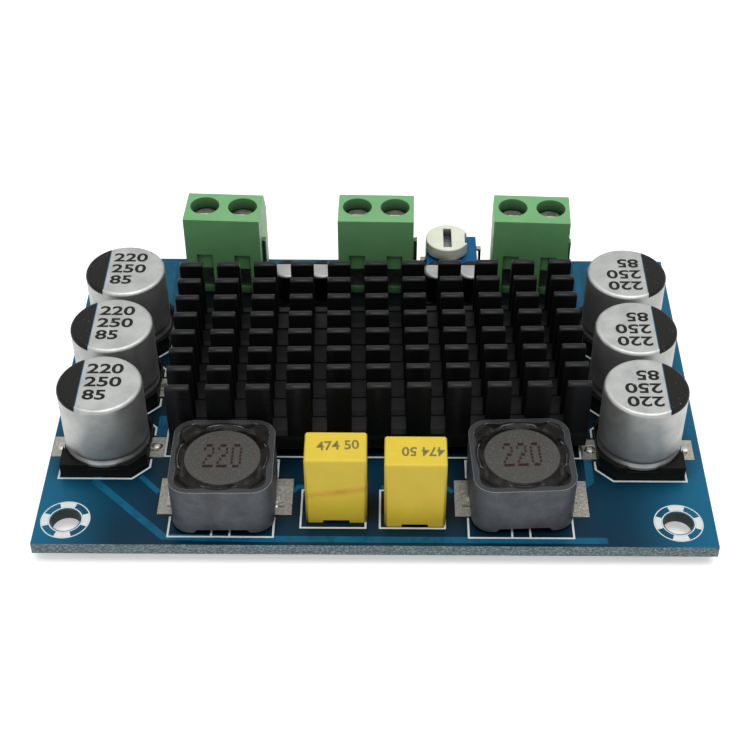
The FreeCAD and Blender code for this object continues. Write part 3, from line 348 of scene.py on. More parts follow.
def worn_oxide(tree, spot):
    """Satin along the draw lines, and duller deep between the teeth, where nothing rubs the oxide smooth."""
    return hollow(tree, 8.0, 0.75, mottle(tree, spot, 0.12, 0.26, 0.4, *DRAW_LINES), 0.6)


def wire_turns(tree, spot):
    """Turns of wire about 0.5 mm apart round the core."""
    return add_node(tree, "ShaderNodeTexWave", {"Vector": spot, "Scale": per(0.5) / 20, "Distortion": 0.5},
                    bands_direction="Z").outputs["Fac"]


def drawn_can(node, *shadow):
    """Deep-drawn aluminium: satin, with soft rings from the die, faint clouds and flecks, and a painted dark band
    of shade at the groove; more painted shade may be laid on.
    """
    return dict(
        layers=[("9EA09F", 2.5, 0.0, 1.0), ("868889", 0.1, -1.2, 0.5), ("4C4E52", painted_groove_shade(node)), *shadow],
        rough=(1.2, 0.38, 0.5), relief=(0.003, 0.25, 0.0, 1.0, (0.08, 0.08, 1), 2.0), Metallic=0.8)


def moulded(dark, sheen, size=0.12, depth=0.004, gloss=0.3, recess=()):
    """Injection-moulded plastic: slow flow shading, a fine spark-eroded grain, and painted shade in recesses where
    given.
    """
    return dict(layers=[(dark, 3.5, 0.0, 1.0), *recess], rough=(1.0, sheen - 0.05, sheen + 0.06),
                relief=(depth, size, 0.0, 1.0), Specular_IOR_Level=gloss)


# Each finish: a shade, where the settings hold none, then layers of other shades, roughness, relief and constants.
# A layer is a shade and where it lies: the measures of a mottle, or a function of the tree and the spot.
FINISHES = {
    # Solder mask over copper foil: paler and a little smoother, because the foil shines through
    "solder_mask_on_copper": dict(
        layers=[("146A8E", 3.0, 0.0, 0.6)], rough=(1.5, 0.24, 0.34), Specular_IOR_Level=0.12),
    # Screen-printed epoxy ink: chalky white, thin enough to let the mask through in specks
    "screen_printed_ink": dict(layers=[("8FA3AC", 0.12, 0.0, 0.35)], Roughness=0.55),
    # Levelled tin on copper: a grey metal with a grainy, softly dished surface
    "levelled_tin_pad": dict(
        shade="84827A", layers=[("ADABA3", 0.22, 0.0, 1.0, *COARSE)], rough=(0.5, 0.36, 0.58),
        relief=(0.03, 0.22, 0.0, 1.0, *COARSE), Metallic=1.0),
    # Reflowed tin solder: a bright, smooth metal that glints, with a faint frosting
    "reflowed_solder": dict(
        shade="BDBAB1", layers=[("8F8C83", 0.4, 0.0, 1.0)], rough=(0.3, 0.26, 0.42),
        relief=(0.015, 0.4, 0.0, 1.0), Metallic=1.0),
    # Wall of a drilled hole: dull and dark, with grit from the drill
    "drilled_hole_wall": dict(
        shade="10201F", layers=[("33423B", 0.15, 0.0, 1.0)], relief=(0.02, 0.15, 0.0, 1.0), Roughness=0.7),
    # Black anodised extrusion: near black, satin, with fine draw lines along the fins, and painted shade that
    # darkens it deep between the teeth
    "black_anodised_aluminium": dict(
        layers=[("17181B", 5.0, 0.0, 0.5), ("020202", in_hollows(9.0))], rough=(worn_oxide,),
        relief=(0.004, 0.12, 0.0, 1.0, *DRAW_LINES), Specular_IOR_Level=0.2),
    # Drawn aluminium can: a pale satin metal with faint rings and flecks, and a painted dark line of shade and
    # reflection at its rolled groove
    "satin_drawn_aluminium": drawn_can(BULK[0]),
    # The same metal on the small cans, close behind the black heat sink, with painted shade on their fronts for
    # the dark sink that they mirror
    "satin_aluminium_painted_dark_front": drawn_can(SMALL[0], ("060708", painted_front_shade)),
    # Baked ink on a can: dark grey, slightly glossy, with a few pin-prick specks
    "baked_can_ink": dict(layers=[("8F918E", pin_pricks)], rough=(0.8, 0.34, 0.5), Specular_IOR_Level=0.08),
    # Blue ink that shows as a thin line along the dark mark
    "blue_ink_edge": dict(shade="2C5F80", **moulded("3A7090", 0.5, gloss=0.1)),
    # Moulded black plastic: a matt skin that keeps the can's foot dark, with a dull light along its chamfers
    "black_moulded_base": moulded("181917", 0.42, gloss=0.08),
    # Yellow potted case: smooth and semi-gloss, with a rubbed orange streak
    "yellow_moulded_case": dict(
        layers=[("D6BB32", 2.5, 0.0, 1.0), ("CF8A12", rubbed_streak)], rough=(1.0, 0.32, 0.45),
        relief=(0.01, 0.8, 0.0, 1.0), Specular_IOR_Level=0.35),
    # Stamped ink on the yellow case: olive grey with thin spots
    "stamped_case_ink": dict(shade="5A5220", layers=[("9C8B38", 0.35, 0.0, 0.55)], Roughness=0.5),
    # Sintered ferrite under a thin varnish: slate grey with a soft sheen, darker on its level top, and with a
    # painted
    # highlight: a thin bright line along the eased edge between the top and the sides
    "varnished_ferrite": dict(
        layers=[("3E4044", 2.0, 0.0, 1.0), ("24272A", darker_level_top), ("B0B4B8", painted_edge_highlight),
                ("35363A", 0.09, -0.3, 0.7)],
        rough=(0.8, 0.36, 0.5), relief=(0.01, 0.09, -0.3, 0.7), Specular_IOR_Level=0.3),
    # Ground top of the drum core: warmer and duller grey than the shield, with fine pale and dark grains
    "ground_ferrite": dict(
        shade="4A4947", layers=[("343433", 0.14, 0.0, 1.0), ("67625A", 0.22, -1.3, 0.8)],
        rough=(0.6, 0.5, 0.62), relief=(0.012, 0.14, 0.0, 1.0), Specular_IOR_Level=0.25),
    # Potting resin in the gap: almost black and wet-looking, smooth enough to catch only small sharp lights
    "dark_potting_resin": dict(
        layers=[("1A1814", 1.2, 0.0, 1.0, *SOFT)], rough=(0.8, 0.2, 0.5), relief=(0.05, 1.2, 0.0, 1.0, *SOFT),
        Specular_IOR_Level=0.13),
    # Ink-jet dots on ferrite: dark rusty brown, thinner in places
    "ink_jet_dots": dict(
        shade="2C1B19", layers=[("443230", 0.3, -0.4, 0.9)], Roughness=0.6, Specular_IOR_Level=0.1),
    # Enamelled copper winding: turns shown as fine ridges round the core
    "enamelled_copper_winding": dict(
        shade="7A3D1E", layers=[("B0673A", wire_turns)], relief=(0.1, wire_turns), Metallic=1.0, Roughness=0.3),
    # Zinc-plated steel: cool grey metal with turning marks and a mild mottled plating
    "zinc_plated_steel": dict(
        layers=[("827F76", 0.6, 0.0, 1.0)], rough=(0.4, 0.3, 0.48), relief=(0.006, 0.15, 0.0, 1.0),
        Metallic=1.0),
    # Moulded polyamide: a chalky green with a soft sheen, and painted deep shade down in the wells
    "green_moulded_polyamide": moulded("69A46C", 0.42, recess=[("1C3A24", in_hollows(3.0))]),
    # Moulded cream dial: smooth and pale, with painted shade that makes its slot read dark
    "cream_moulded_dial": moulded("DCDDCC", 0.4, recess=[("343A4C", in_hollows(1.6))]),
    # Moulded blue body: a smoother plastic with a small, clear light along its top edges
    "blue_moulded_body": moulded("0F5488", 0.38, gloss=0.12),
    # Under the heat sink: dull chip epoxy, pasty compound, glassy resistors and fired ceramic
    "black_chip_epoxy": dict(shade="202021", **moulded("161617", 0.5)),
    "white_heat_compound": dict(shade="D9D9D6", **moulded("C4C4C0", 0.6, 0.4, 0.02)),
    "glazed_resistor": dict(shade="17181B", **moulded("101114", 0.3)),
    "fired_ceramic": dict(shade="8E7A63", **moulded("7A6853", 0.4)),
    # Matt paper: white with hardly any cloud in it
    "matt_paper_floor": dict(layers=[("E8E8E6", 40.0, 0.0, 0.03)], Roughness=0.9),
}


def finish(name, shade=None):
    """A material from the table, in its own shade or in one from the settings."""
    recipe = dict(FINISHES[name])
    shade, layers = recipe.pop("shade", shade), recipe.pop("layers")
    rough, relief = recipe.pop("rough", None), recipe.pop("relief", None)
    material, tree, shader, spot = new_finish(name, **recipe)

    def laid(pattern):
        return pattern[0](tree, spot) if callable(pattern[0]) else mottle(tree, spot, *pattern)

    shade = layered(tree, shade, *((other, laid(pattern)) for other, *pattern in layers))
    tree.links.new(shade, shader.inputs["Base Color"])
    if rough:
        tree.links.new(laid(rough), shader.inputs["Roughness"])
    if relief:
        depth, *pattern = relief
        bump = add_node(tree, "ShaderNodeBump", {"Height": laid(pattern), "Distance": depth * MM, "Strength": 1.0})
        tree.links.new(bump.outputs["Normal"], shader.inputs["Normal"])
    return material


def mask_finish(settings):
    """Semi-gloss solder mask on glass laminate: level, with a faint orange peel, and a bare woven cut edge; a
    painted reflection makes it paler near the ends, and painted shade darkens it near tall parts and behind the
    heat sink.
    """
    material, tree, shader, spot = new_finish("solder_mask_on_glass_laminate", Specular_IOR_Level=0.12)
    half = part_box("circuit_board")[1].x
    # Near black, for painted shade on the mask
    painted_shade_black = "03090D"
    # Painted reflection: the mask is made paler near the board's ends, for the lamp mirrored in the semi-gloss
    # mask; it is also paler towards the back
    painted_reflection_at_ends = along(tree, spot, "X", half * 0.72, half, smooth=True, mirrored=True)
    to_the_back = along(tree, spot, "Y", -0.027, 0.027, high=0.7)
    # Painted shade: between the heat sink and the terminals the mask is painted nearly black, for the shade there
    # and the dark parts that it mirrors
    painted_dark_strip = overlap(tree, along(tree, spot, "X", 0.0266, 0.0252, mirrored=True),
                    along(tree, spot, "Y", 0.0105, 0.012), along(tree, spot, "Y", 0.0222, 0.0205),
                    along(tree, spot, "Z", 0.0007, 0.0009))
    # Painted shade darkens the mask near tall parts, in holes, and in the strip behind the heat sink
    mask = layered(tree, settings.mask, (settings.mask_paler, painted_reflection_at_ends), (settings.mask_paler, to_the_back),
                   (settings.mask_on_copper, mottle(tree, spot, 6.0, 0.0, 0.18)),
                   (painted_shade_black, hollow(tree, 6.0)), (painted_shade_black, painted_dark_strip))
    # Cut glass cloth: strands about 0.4 mm long lie along the edge
    strands = mottle(tree, spot, 0.35, 0.0, 1.0, (0.45, 0.45, 1.6), 5.0)
    fibre = layered(tree, "4B5F66", (settings.laminate, strands),
                    ("B4BDB8", mottle(tree, spot, 0.16, -0.7, 0.9, (0.6, 0.6, 1.2))))
    level = facing(tree, "Z", 0.45, 0.55, mirrored=True)
    peel = mottle(tree, spot, 1.4, 0.0, 0.3)
    cloth = add_node(tree, "ShaderNodeMix", {0: level, 2: strands, 3: peel}, data_type="FLOAT").outputs[0]
    relief = add_node(tree, "ShaderNodeBump", {"Height": cloth, "Distance": 0.02 * MM, "Strength": 1.0})
    rough = facing(tree, "Z", 0.45, 0.55, low=0.85, high=0.3, mirrored=True)
    for name, value in (("Base Color", layered(tree, fibre, (mask, level))), ("Roughness", rough),
                        ("Normal", relief.outputs["Normal"])):
        tree.links.new(value, shader.inputs[name])
    return material


def outward(points, width, closed):
    """The two sides of a band of a width that follows points, mitred at its corners."""
    left = []
    right = []
    count = len(points)
    for index, point in enumerate(points):
        here = Vector(point)
        ways = []
        if closed or index > 0:
            ways.append((here - Vector(points[index - 1])).normalized())
        if closed or index < count - 1:
            ways.append((Vector(points[(index + 1) % count]) - here).normalized())
        along = sum(ways, Vector((0, 0))).normalized()
        across = Vector((-along.y, along.x))
        reach = width / 2 / max(0.3, across.dot(Vector((-ways[0].y, ways[0].x))))
        left.append(here + across * reach)
        right.append(here - across * reach)
    return left, right


def join_rings(bm, rings, closed):
    """Walls between rings of as many points, with end faces if the row is open."""
    size = len(rings[0])
    for index in range(len(rings) if closed else len(rings) - 1):
        one = rings[index]
        two = rings[(index + 1) % len(rings)]
        for k in range(size):
            bm.faces.new((one[k], one[(k + 1) % size], two[(k + 1) % size], two[k]))
    if not closed:
        bm.faces.new(list(reversed(rings[0])))
        bm.faces.new(rings[-1])


def add_block(bm, left, front, right, back, low, high):
    """An upright block between two corners."""
    corners = ((left, low), (right, low), (right, high), (left, high))
    join_rings(bm, [[bm.verts.new((x, y, z)) for x, z in corners] for y in (front, back)], closed=False)


def add_band(bm, points, width, low, high, closed=False):
    """A thin band along points, with square ends or closed on itself."""
    left, right = outward(points, width, closed)
    rings = [[bm.verts.new((*side, height)) for side, height in ((a, low), (b, low), (b, high), (a, high))]
             for a, b in zip(left, right)]
    join_rings(bm, rings, closed)


def arc(centre, radius, start, end, steps):
    """Points along an arc, with angles in degrees."""
    points = []
    for step in range(steps + 1):
        angle = math.radians(start + (end - start) * step / steps)
        points.append((centre[0] + radius * math.cos(angle), centre[1] + radius * math.sin(angle)))
    return points


def add_turned(bm, profile, centre, steps, floor=0.0):
    """Turn a profile of radius and height pairs, from axis to axis, about an upright axis."""
    rings = []
    for radius, height in profile:
        z = floor + height
        if radius == 0:
            rings.append([bm.verts.new((centre[0], centre[1], z))])
        else:
            rings.append([bm.verts.new((*spot, z)) for spot in arc(centre, radius, 0, 360, steps)[:-1]])
    for one, two in zip(rings, rings[1:]):
        for k in range(steps):
            after = (k + 1) % steps
            if len(one) == 1:
                bm.faces.new((one[0], two[k], two[after]))
            elif len(two) == 1:
                bm.faces.new((one[k], one[after], two[0]))
            else:
                bm.faces.new((one[k], one[after], two[after], two[k]))


def in_scene(name, data):
    """An object in the scene with a mesh, a curve or a lamp."""
    thing = bpy.data.objects.new(name, data)
    bpy.context.scene.collection.objects.link(thing)
    return thing


def settle(holder):
    """The plain mesh that an object's modifiers give; the object goes."""
    bpy.context.view_layer.update()
    mesh = bpy.data.meshes.new_from_object(holder.evaluated_get(bpy.context.evaluated_depsgraph_get()))
    bpy.data.objects.remove(holder)
    return mesh


def add_digits(bm, words, size, centre, turn, low, high, bold=0.0):
    """Plain digits set flat inside a size of width and height, as one closed relief."""
    curve = bpy.data.curves.new("digits", "FONT")
    curve.body = words
    curve.extrude = 0.5
    curve.offset = bold
    curve.resolution_u = 4
    mesh = settle(in_scene("digits", curve))
    across = [vertex.co.x for vertex in mesh.vertices]
    along = [vertex.co.y for vertex in mesh.vertices]
    middle = Vector(((min(across) + max(across)) / 2, (min(along) + max(along)) / 2, 0))
    spans = (max(across) - min(across), max(along) - min(along))
    scale = Matrix.Diagonal((size[0] / spans[0], size[1] / spans[1], high - low, 1))
    spot = Matrix.Translation((centre[0], centre[1], (low + high) / 2))
    mesh.transform(spot @ Matrix.Rotation(turn, 4, "Z") @ scale @ Matrix.Translation(-middle))
    bm.from_mesh(mesh)
    bpy.data.meshes.remove(mesh)
    bmesh.ops.remove_doubles(bm, verts=bm.verts, dist=1e-5)


def to_mesh(bm, name):
    """A mesh in metres from a form in millimetres, with its faces outwards."""
    bmesh.ops.recalc_face_normals(bm, faces=bm.faces)
    bm.transform(Matrix.Scale(MM, 4))
    mesh = bpy.data.meshes.new(name)
    bm.to_mesh(mesh)
    bm.free()
    return mesh


def put(mesh, name, material, body=ROOT, replaces=(), crease=35):
    """Place a finished mesh as a piece that rides on a body; crease is None where it is shaded already."""
    mesh.materials.clear()
    mesh.materials.append(material)
    if crease is not None:
        mesh.shade_smooth()
        mesh.set_sharp_from_angle(angle=math.radians(crease))
    piece = in_scene(name, mesh)
    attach(piece, body)
    if replaces:
        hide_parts(*replaces)


def merged(node):
    """A copy of a solid's mesh with its doubled points merged and its flat faces whole."""
    bm = bmesh.new()
    bm.from_mesh(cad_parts[node].data)
    bmesh.ops.remove_doubles(bm, verts=bm.verts, dist=1e-6)
    bmesh.ops.dissolve_limit(bm, angle_limit=math.radians(0.5), verts=bm.verts, edges=bm.edges)
    mesh = bpy.data.meshes.new(node)
    bm.to_mesh(mesh)
    bm.free()
    return mesh


def dress(node, material, ease=0.0, body=ROOT, crease=35):
    """A merged copy of a solid, its edges eased and its flats shaded flat, stands for the solid."""
    mesh = merged(node)
    mesh.shade_smooth()
    mesh.set_sharp_from_angle(angle=math.radians(crease))
    holder = in_scene(node + "_eased", mesh)
    if ease:
        bevel = holder.modifiers.new("ease", "BEVEL")
        bevel.width = ease
        bevel.segments = 2
        bevel.limit_method = "ANGLE"
        bevel.angle_limit = math.radians(40)
    even = holder.modifiers.new("even", "WEIGHTED_NORMAL")
    even.keep_sharp = True
    put(settle(holder), node + "_finished", material, body, (node,), None)


def paint(node, material):
    """Give a solid that keeps its own mesh a finish."""
    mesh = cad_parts[node].data
    mesh.materials.clear()
    mesh.materials.append(material)


def new_grower(name, inputs, output):
    """A geometry nodes tree with its named inputs and one output, and the sockets that bring the inputs in."""
    tree = bpy.data.node_groups.new(name, "GeometryNodeTree")
    for title, kind in inputs.items():
        tree.interface.new_socket(title, in_out="INPUT", socket_type="NodeSocket" + kind)
    tree.interface.new_socket(output, in_out="OUTPUT", socket_type="NodeSocketGeometry")
    return tree, add_node(tree, "NodeGroupInput").outputs


def hand_over(tree, copies, material, output):
    """End a geometry nodes tree: make its copies real, and give them their finish."""
    real = add_node(tree, "GeometryNodeRealizeInstances", {"Geometry": copies})
    done = add_node(tree, "GeometryNodeSetMaterial", {"Geometry": real.outputs["Geometry"], "Material": material})
    add_node(tree, "NodeGroupOutput", {output: done.outputs["Geometry"]})
    return tree


def repeat_tree():
    """Geometry nodes: a copy of one piece on every point, turned by the point's own angle."""
    tree, given = new_grower("repeat_on_points", {"Points": "Geometry", "Piece": "Object", "Finish": "Material"},
                             "Copies")
    turn = add_node(tree, "GeometryNodeInputNamedAttribute", {"Name": "turn"}, data_type="FLOAT")
    angles = add_node(tree, "ShaderNodeCombineXYZ", {"Z": turn.outputs["Attribute"]})
    facing_way = add_node(tree, "FunctionNodeEulerToRotation", {"Euler": angles.outputs["Vector"]})
    piece = add_node(tree, "GeometryNodeObjectInfo", {"Object": given["Piece"]})
    copies = add_node(tree, "GeometryNodeInstanceOnPoints", {
        "Points": given["Points"], "Instance": piece.outputs["Geometry"],
        "Rotation": facing_way.outputs["Rotation"]})
    return hand_over(tree, copies.outputs["Instances"], given["Finish"], "Copies")


def sink_tree():
    """Geometry nodes: a grid of teeth on a base, turned and set down in its place."""
    tree, given = new_grower("cross_cut_heat_sink", {
        "Base": "Geometry", "Tooth": "Object", "Columns": "Int", "Rows": "Int", "Column pitch": "Float",
        "Row pitch": "Float", "Skew": "Float", "Place": "Vector", "Finish": "Material"}, "Sink")
    spans = []
    for count, pitch in (("Columns", "Column pitch"), ("Rows", "Row pitch")):
        gaps = add_node(tree, "ShaderNodeMath", {0: given[count], 1: 1.0}, operation="SUBTRACT").outputs[0]
        spans.append(add_node(tree, "ShaderNodeMath", {0: gaps, 1: given[pitch]}, operation="MULTIPLY").outputs[0])
    grid = add_node(tree, "GeometryNodeMeshGrid", {
        "Size X": spans[0], "Size Y": spans[1], "Vertices X": given["Columns"], "Vertices Y": given["Rows"]})
    tooth = add_node(tree, "GeometryNodeObjectInfo", {"Object": given["Tooth"]})
    teeth = add_node(tree, "GeometryNodeInstanceOnPoints", {
        "Points": grid.outputs["Mesh"], "Instance": tooth.outputs["Geometry"]})
    whole = add_node(tree, "GeometryNodeJoinGeometry", {"Geometry": given["Base"]})
    tree.links.new(teeth.outputs["Instances"], whole.inputs["Geometry"])
    angle = add_node(tree, "ShaderNodeCombineXYZ", {"Z": given["Skew"]})
    turned = add_node(tree, "FunctionNodeEulerToRotation", {"Euler": angle.outputs["Vector"]})
    placed = add_node(tree, "GeometryNodeTransform", {
        "Geometry": whole.outputs["Geometry"], "Translation": given["Place"],
        "Rotation": turned.outputs["Rotation"]})
    return hand_over(tree, placed.outputs["Geometry"], given["Finish"], "Sink")


def grow(holder, tree, values):
    """Run a geometry nodes tree on an object with its named inputs set, and keep the plain mesh."""
    modifier = holder.modifiers.new(tree.name, "NODES")
    modifier.node_group = tree
    for item in tree.interface.items_tree:
        if item.in_out == "INPUT" and item.name in values:
            modifier[item.identifier] = values[item.name]
    return settle(holder)


def scatter(name, bm, spots, material, crease=35):
    """One piece with a copy of a form at each spot of x, y, z in millimetres and a turn."""
    pattern = in_scene(name + "_pattern", to_mesh(bm, name + "_pattern"))
    points = bpy.data.meshes.new(name)
    points.from_pydata([(x * MM, y * MM, z * MM) for x, y, z, turn in spots], [], [])
    turns = points.attributes.new("turn", "FLOAT", "POINT")
    turns.data.foreach_set("value", [turn for x, y, z, turn in spots])
    mesh = grow(in_scene(name + "_points", points), repeat_tree(), {"Piece": pattern, "Finish": material})
    bpy.data.objects.remove(pattern)
    put(mesh, name, material, crease=crease)


def box(node):
    """A solid's lowest and highest corners in millimetres."""
    low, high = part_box(node)
    return low / MM, high / MM


def middle(node):
    """A solid's middle in millimetres."""
    low, high = box(node)
    return (low + high) / 2


def bulk_spots():
    """Big capacitors: place and turn, the right column facing the other way."""
    return [(middle(node).x, middle(node).y, 0.0, 0.0 if middle(node).x < 0 else math.pi) for node in BULK]


def small_spots():
    """Small capacitors: place and turn, marks to the back."""
    return [(middle(node).x, middle(node).y, 0.0, -math.pi / 2) for node in SMALL]


def mount_spots():
    """The four mounting holes, which stand round the origin."""
    low, high = box("circuit_board")
    across = (high.x - low.x) / 2 - HOLE_INSET[0]
    along_side = (high.y - low.y) / 2 - HOLE_INSET[1]
    return [(x * across, y * along_side, 0.0, 0.0) for x in (-1, 1) for y in (-1, 1)]


def make_mount_rings(settings, ink):
    """Printed rings round the mounting holes: two thin circles and four filled quarters."""
    low = BOARD_TOP
    high = low + settings.print_height / MM
    outer = settings.ring_diameter / MM / 2
    inner = 1.95
    line = 0.13
    bm = bmesh.new()
    lap = 0.02
    for radius in (outer - line / 2, inner):
        add_band(bm, arc((0, 0), radius, 0, 360, 48)[:-1], line, low, high, closed=True)
    for start in (-22, 68, 158, 248):
        points = arc((0, 0), (inner + outer) / 2 - line / 4, start, start + 44, 8)
        add_band(bm, points, outer - inner - 2 * line + lap, low, high)
    scatter("mounting_hole_prints", bm, mount_spots(), ink)


def make_hole_walls():
    """Dark plated sleeves just inside the mounting holes."""
    radius = 1.75
    wall = 0.04
    profile = ((radius, 0.02), (radius - wall, 0.06),
               (radius - wall, BOARD_TOP - 0.06), (radius, BOARD_TOP - 0.02))
    bm = bmesh.new()
    join_rings(bm, [[bm.verts.new((x * reach, y * reach, z)) for reach, z in profile]
                    for x, y in arc((0, 0), 1.0, 0, 360, 48)[:-1]], closed=True)
    scatter("mounting_hole_walls", bm, mount_spots(), finish("drilled_hole_wall"))


def base_outline(half, cut, gap):
    """Printed outline of a capacitor's base with two cut corners, open at its pads."""
    return [
        [(-half, -gap), (-half, -half), (half - cut, -half), (half, -half + cut), (half, -gap)],
        [(half, gap), (half, half - cut), (half - cut, half), (-half, half), (-half, gap)],
    ]


def inductor_outline(side, front, back, gap, line):
    """Printed square round an inductor, open at its pads, with two short ticks at the front."""
    return [
        [(-side, -gap), (-side, front), (side, front), (side, -gap)],
        [(side, gap), (side, back), (-side, back), (-side, gap)],
        *([(tick, front + line / 2), (tick, front + 1.7)] for tick in (-1.06, 1.06)),
    ]


def make_footprints(settings, ink, pads):
    """Printed outlines and tinned pads under the capacitors and the inductors."""
    low = BOARD_TOP
    line = settings.print_line / MM
    for name, spots, pad_spots, outline, pad, (start, end) in (
            ("bulk_capacitor", bulk_spots(), bulk_spots(), base_outline(5.42, 1.95, 2.07), 1.72, (3.4, 6.9)),
            ("small_capacitor", small_spots(), small_spots(), base_outline(2.3, 0.9, 0.9), 0.55, (1.4, 3.2)),
            ("inductor", INDUCTOR_PRINTS, INDUCTOR_PADS, inductor_outline(6.15, -6.4, 6.2, 3.25, line), 2.95,
             (5.0, 7.95))):
        bm = bmesh.new()
        for points in outline:
            add_band(bm, points, line, low, low + settings.print_height / MM)
        scatter(name + "_prints", bm, spots, ink)
        bm = bmesh.new()
        for left, right in ((-end, -start), (start, end)):
            add_block(bm, left, -pad, right, pad, low, low + settings.pad_height / MM)
        scatter(name + "_pads", bm, pad_spots, pads)


def make_board_prints(settings, ink):
    """Printed outlines of the heat sink and the film capacitors."""
    bm = bmesh.new()
    for left, front, right, back in BOARD_PRINTS:
        add_band(bm, [(left, front), (right, front), (right, back), (left, back)], settings.print_line / MM,
                 BOARD_TOP, BOARD_TOP + settings.print_height / MM, closed=True)
    put(to_mesh(bm, "board_prints"), "board_prints", ink)


def make_tracks(settings, material):
    """Copper tracks that show through the mask as paler bands."""
    bm = bmesh.new()
    for points, width in TRACKS:
        add_band(bm, points, width or settings.copper_band / MM, BOARD_TOP, BOARD_TOP + TRACK_HEIGHT)
    put(to_mesh(bm, "tracks"), "copper_tracks", material)


def mound(width, depth, height, floor):
    """A lumpy pool of solder with a flat foot: a squashed dome with two shallow swells."""
    bm = bmesh.new()
    steps = 20
    levels = 6
    rings = []
    for level in range(levels):
        rise = level / levels * math.pi / 2
        ring = []
        for step in range(steps):
            angle = 2 * math.pi * step / steps
            swell = 1 + 0.06 * math.sin(3 * angle + 0.6) + 0.03 * math.sin(5 * angle)
            reach = swell * math.cos(rise) ** 0.7 / 2
            ring.append(bm.verts.new((width * reach * math.cos(angle), depth * reach * math.sin(angle),
                                      floor + height * math.sin(rise))))
        rings.append(ring)
    tip = bm.verts.new((0, 0, floor + height))
    for k in range(steps):
        after = (k + 1) % steps
        for one, two in zip(rings, rings[1:]):
            bm.faces.new((one[k], one[after], two[after], two[k]))
        bm.faces.new((rings[-1][k], rings[-1][after], tip))
    bm.faces.new(list(reversed(rings[0])))
    return bm


def make_solder(pad_height, material):
    """Solder on the capacitor and inductor pads, a mound on each side."""
    inductors = [(middle("inductor_shield_" + name).x, middle("inductor_shield_" + name).y - 0.3, 0.0, 0.0)
                 for name in SIDES]
    floor = BOARD_TOP + pad_height / MM - 0.02
    for name, spots, (out_x, out_y), flip, size in (
            ("capacitor_solder", bulk_spots(), (5.8, 0.1), 0.0, (1.5, 1.3, 0.3)),
            ("small_capacitor_solder", small_spots(), (0.0, 2.75), 0.0, (0.7, 0.75, 0.2)),
            ("inductor_solder", inductors, (6.1, 0.0), math.pi, (1.5, 3.1, 0.3))):
        both = [(x + side * out_x, y + side * out_y, z, turn + (flip if side < 0 else 0.0))
                for x, y, z, turn in spots for side in (-1, 1)]
        scatter(name, mound(*size, floor), both, material)


def pin_spots():
    """Where pins come through the board's underside: terminals, film capacitors and trimmer."""
    spots = [(middle("terminal_screw_%d" % number), (0.0, -2.3)) for number in POLES]
    spots += [(middle("film_capacitor_" + name), (side, 0.0)) for name in SIDES for side in (-2.5, 2.5)]
    spots += [(middle("trimmer_body"), pin) for pin in ((-4.075, 0.0), (4.075, -2.5), (4.075, 2.5))]
    return [(spot.x + x, spot.y + y, 0.0, 0.7 * index) for index, (spot, (x, y)) in enumerate(spots)]


def make_joints(pads, solder):
    """Ring pads and solder cones round the pins, under the board."""
    plate = [(0, -0.05), (1.15, -0.05), (1.15, 0.0), (0, 0.0)]
    cone = [(0, -1.1), (0.42, -1.1), (0.5, -0.8), (0.66, -0.45), (0.92, -0.16), (1.08, -0.05), (0, -0.05)]
    for name, profile, steps, material in (
            ("underside_pads", plate, 32, pads), ("underside_solder", cone, 28, solder)):
        bm = bmesh.new()
        add_turned(bm, profile, (0, 0), steps)
        scatter(name, bm, pin_spots(), material)


def can_print(radius, top, chord):
    """The dark mark over one side of a can's top, rolled over its rim and cut along a chord."""
    bm = bmesh.new()
    skin = 0.02
    outer = [(0, top + skin), (radius - CAN_LIP, top + skin)]
    inner = [(0, top - skin), (radius - CAN_LIP, top - skin)]
    for step in range(1, 6):
        angle = math.pi / 2 * step / 5
        for edge, reach in ((outer, CAN_LIP + skin), (inner, CAN_LIP - skin)):
            edge.append((radius - CAN_LIP + reach * math.sin(angle), top - CAN_LIP + reach * math.cos(angle)))
    add_turned(bm, outer + list(reversed(inner)), (0, 0), 72)
    cut = bmesh.ops.bisect_plane(bm, geom=bm.verts[:] + bm.edges[:] + bm.faces[:], plane_co=(-chord, 0, 0),
                                 plane_no=(1, 0, 0), clear_outer=True)
    edges = [part for part in cut["geom_cut"] if isinstance(part, bmesh.types.BMEdge)]
    bmesh.ops.contextual_create(bm, geom=edges)
    return bm


def make_capacitor_prints(settings, ink):
    """Dark marks and plain digits on the cans."""
    low, high = box(BULK[0])
    top = high.z
    radius = (high.x - low.x) / 2
    chord = settings.chord / MM
    marks = can_print(radius, top, chord)
    scatter("bulk_capacitor_marks", marks, bulk_spots(), ink, crease=50)
    digits = bmesh.new()
    height = settings.digit_height / MM
    for words, width, x, y in (("220", 4.36, 0.42, 2.62), ("250", 4.4, 0.42, 0.3), ("85", 2.75, -0.35, -2.0)):
        add_digits(digits, words, (width, height), (x, y), 0.0, top - 0.01, top + 0.02, bold=0.022)
    scatter("bulk_capacitor_digits", digits, bulk_spots(), ink)
    edge = bmesh.new()
    edge_width = 0.09
    span = math.sqrt((radius - CAN_LIP) ** 2 - chord ** 2)
    add_block(edge, -chord, -span, -chord + edge_width, span, top - 0.01, top + 0.015)
    scatter("bulk_capacitor_mark_edges", edge, bulk_spots(), finish("blue_ink_edge"))
    small_radius = 2.0
    small_chord = 0.8
    marks = can_print(small_radius, box(SMALL[0])[1].z, small_chord)
    scatter("small_capacitor_marks", marks, small_spots(), ink, crease=50)


def make_film_digits(ink):
    """Plain digits stamped on the yellow cases, the right ones upside down."""
    bm = bmesh.new()
    for name, x, y, turn in (("left", 0.25, 0.15, 0.07), ("right", 0.85, -0.2, math.pi)):
        spot = middle("film_capacitor_" + name)
        top = box("film_capacitor_" + name)[1].z
        add_digits(bm, "474 50", (4.9, 1.5), (spot.x + x, spot.y + y), turn, top - 0.01, top + 0.015, bold=0.02)
    put(to_mesh(bm, "film_digits"), "film_capacitor_digits", ink)


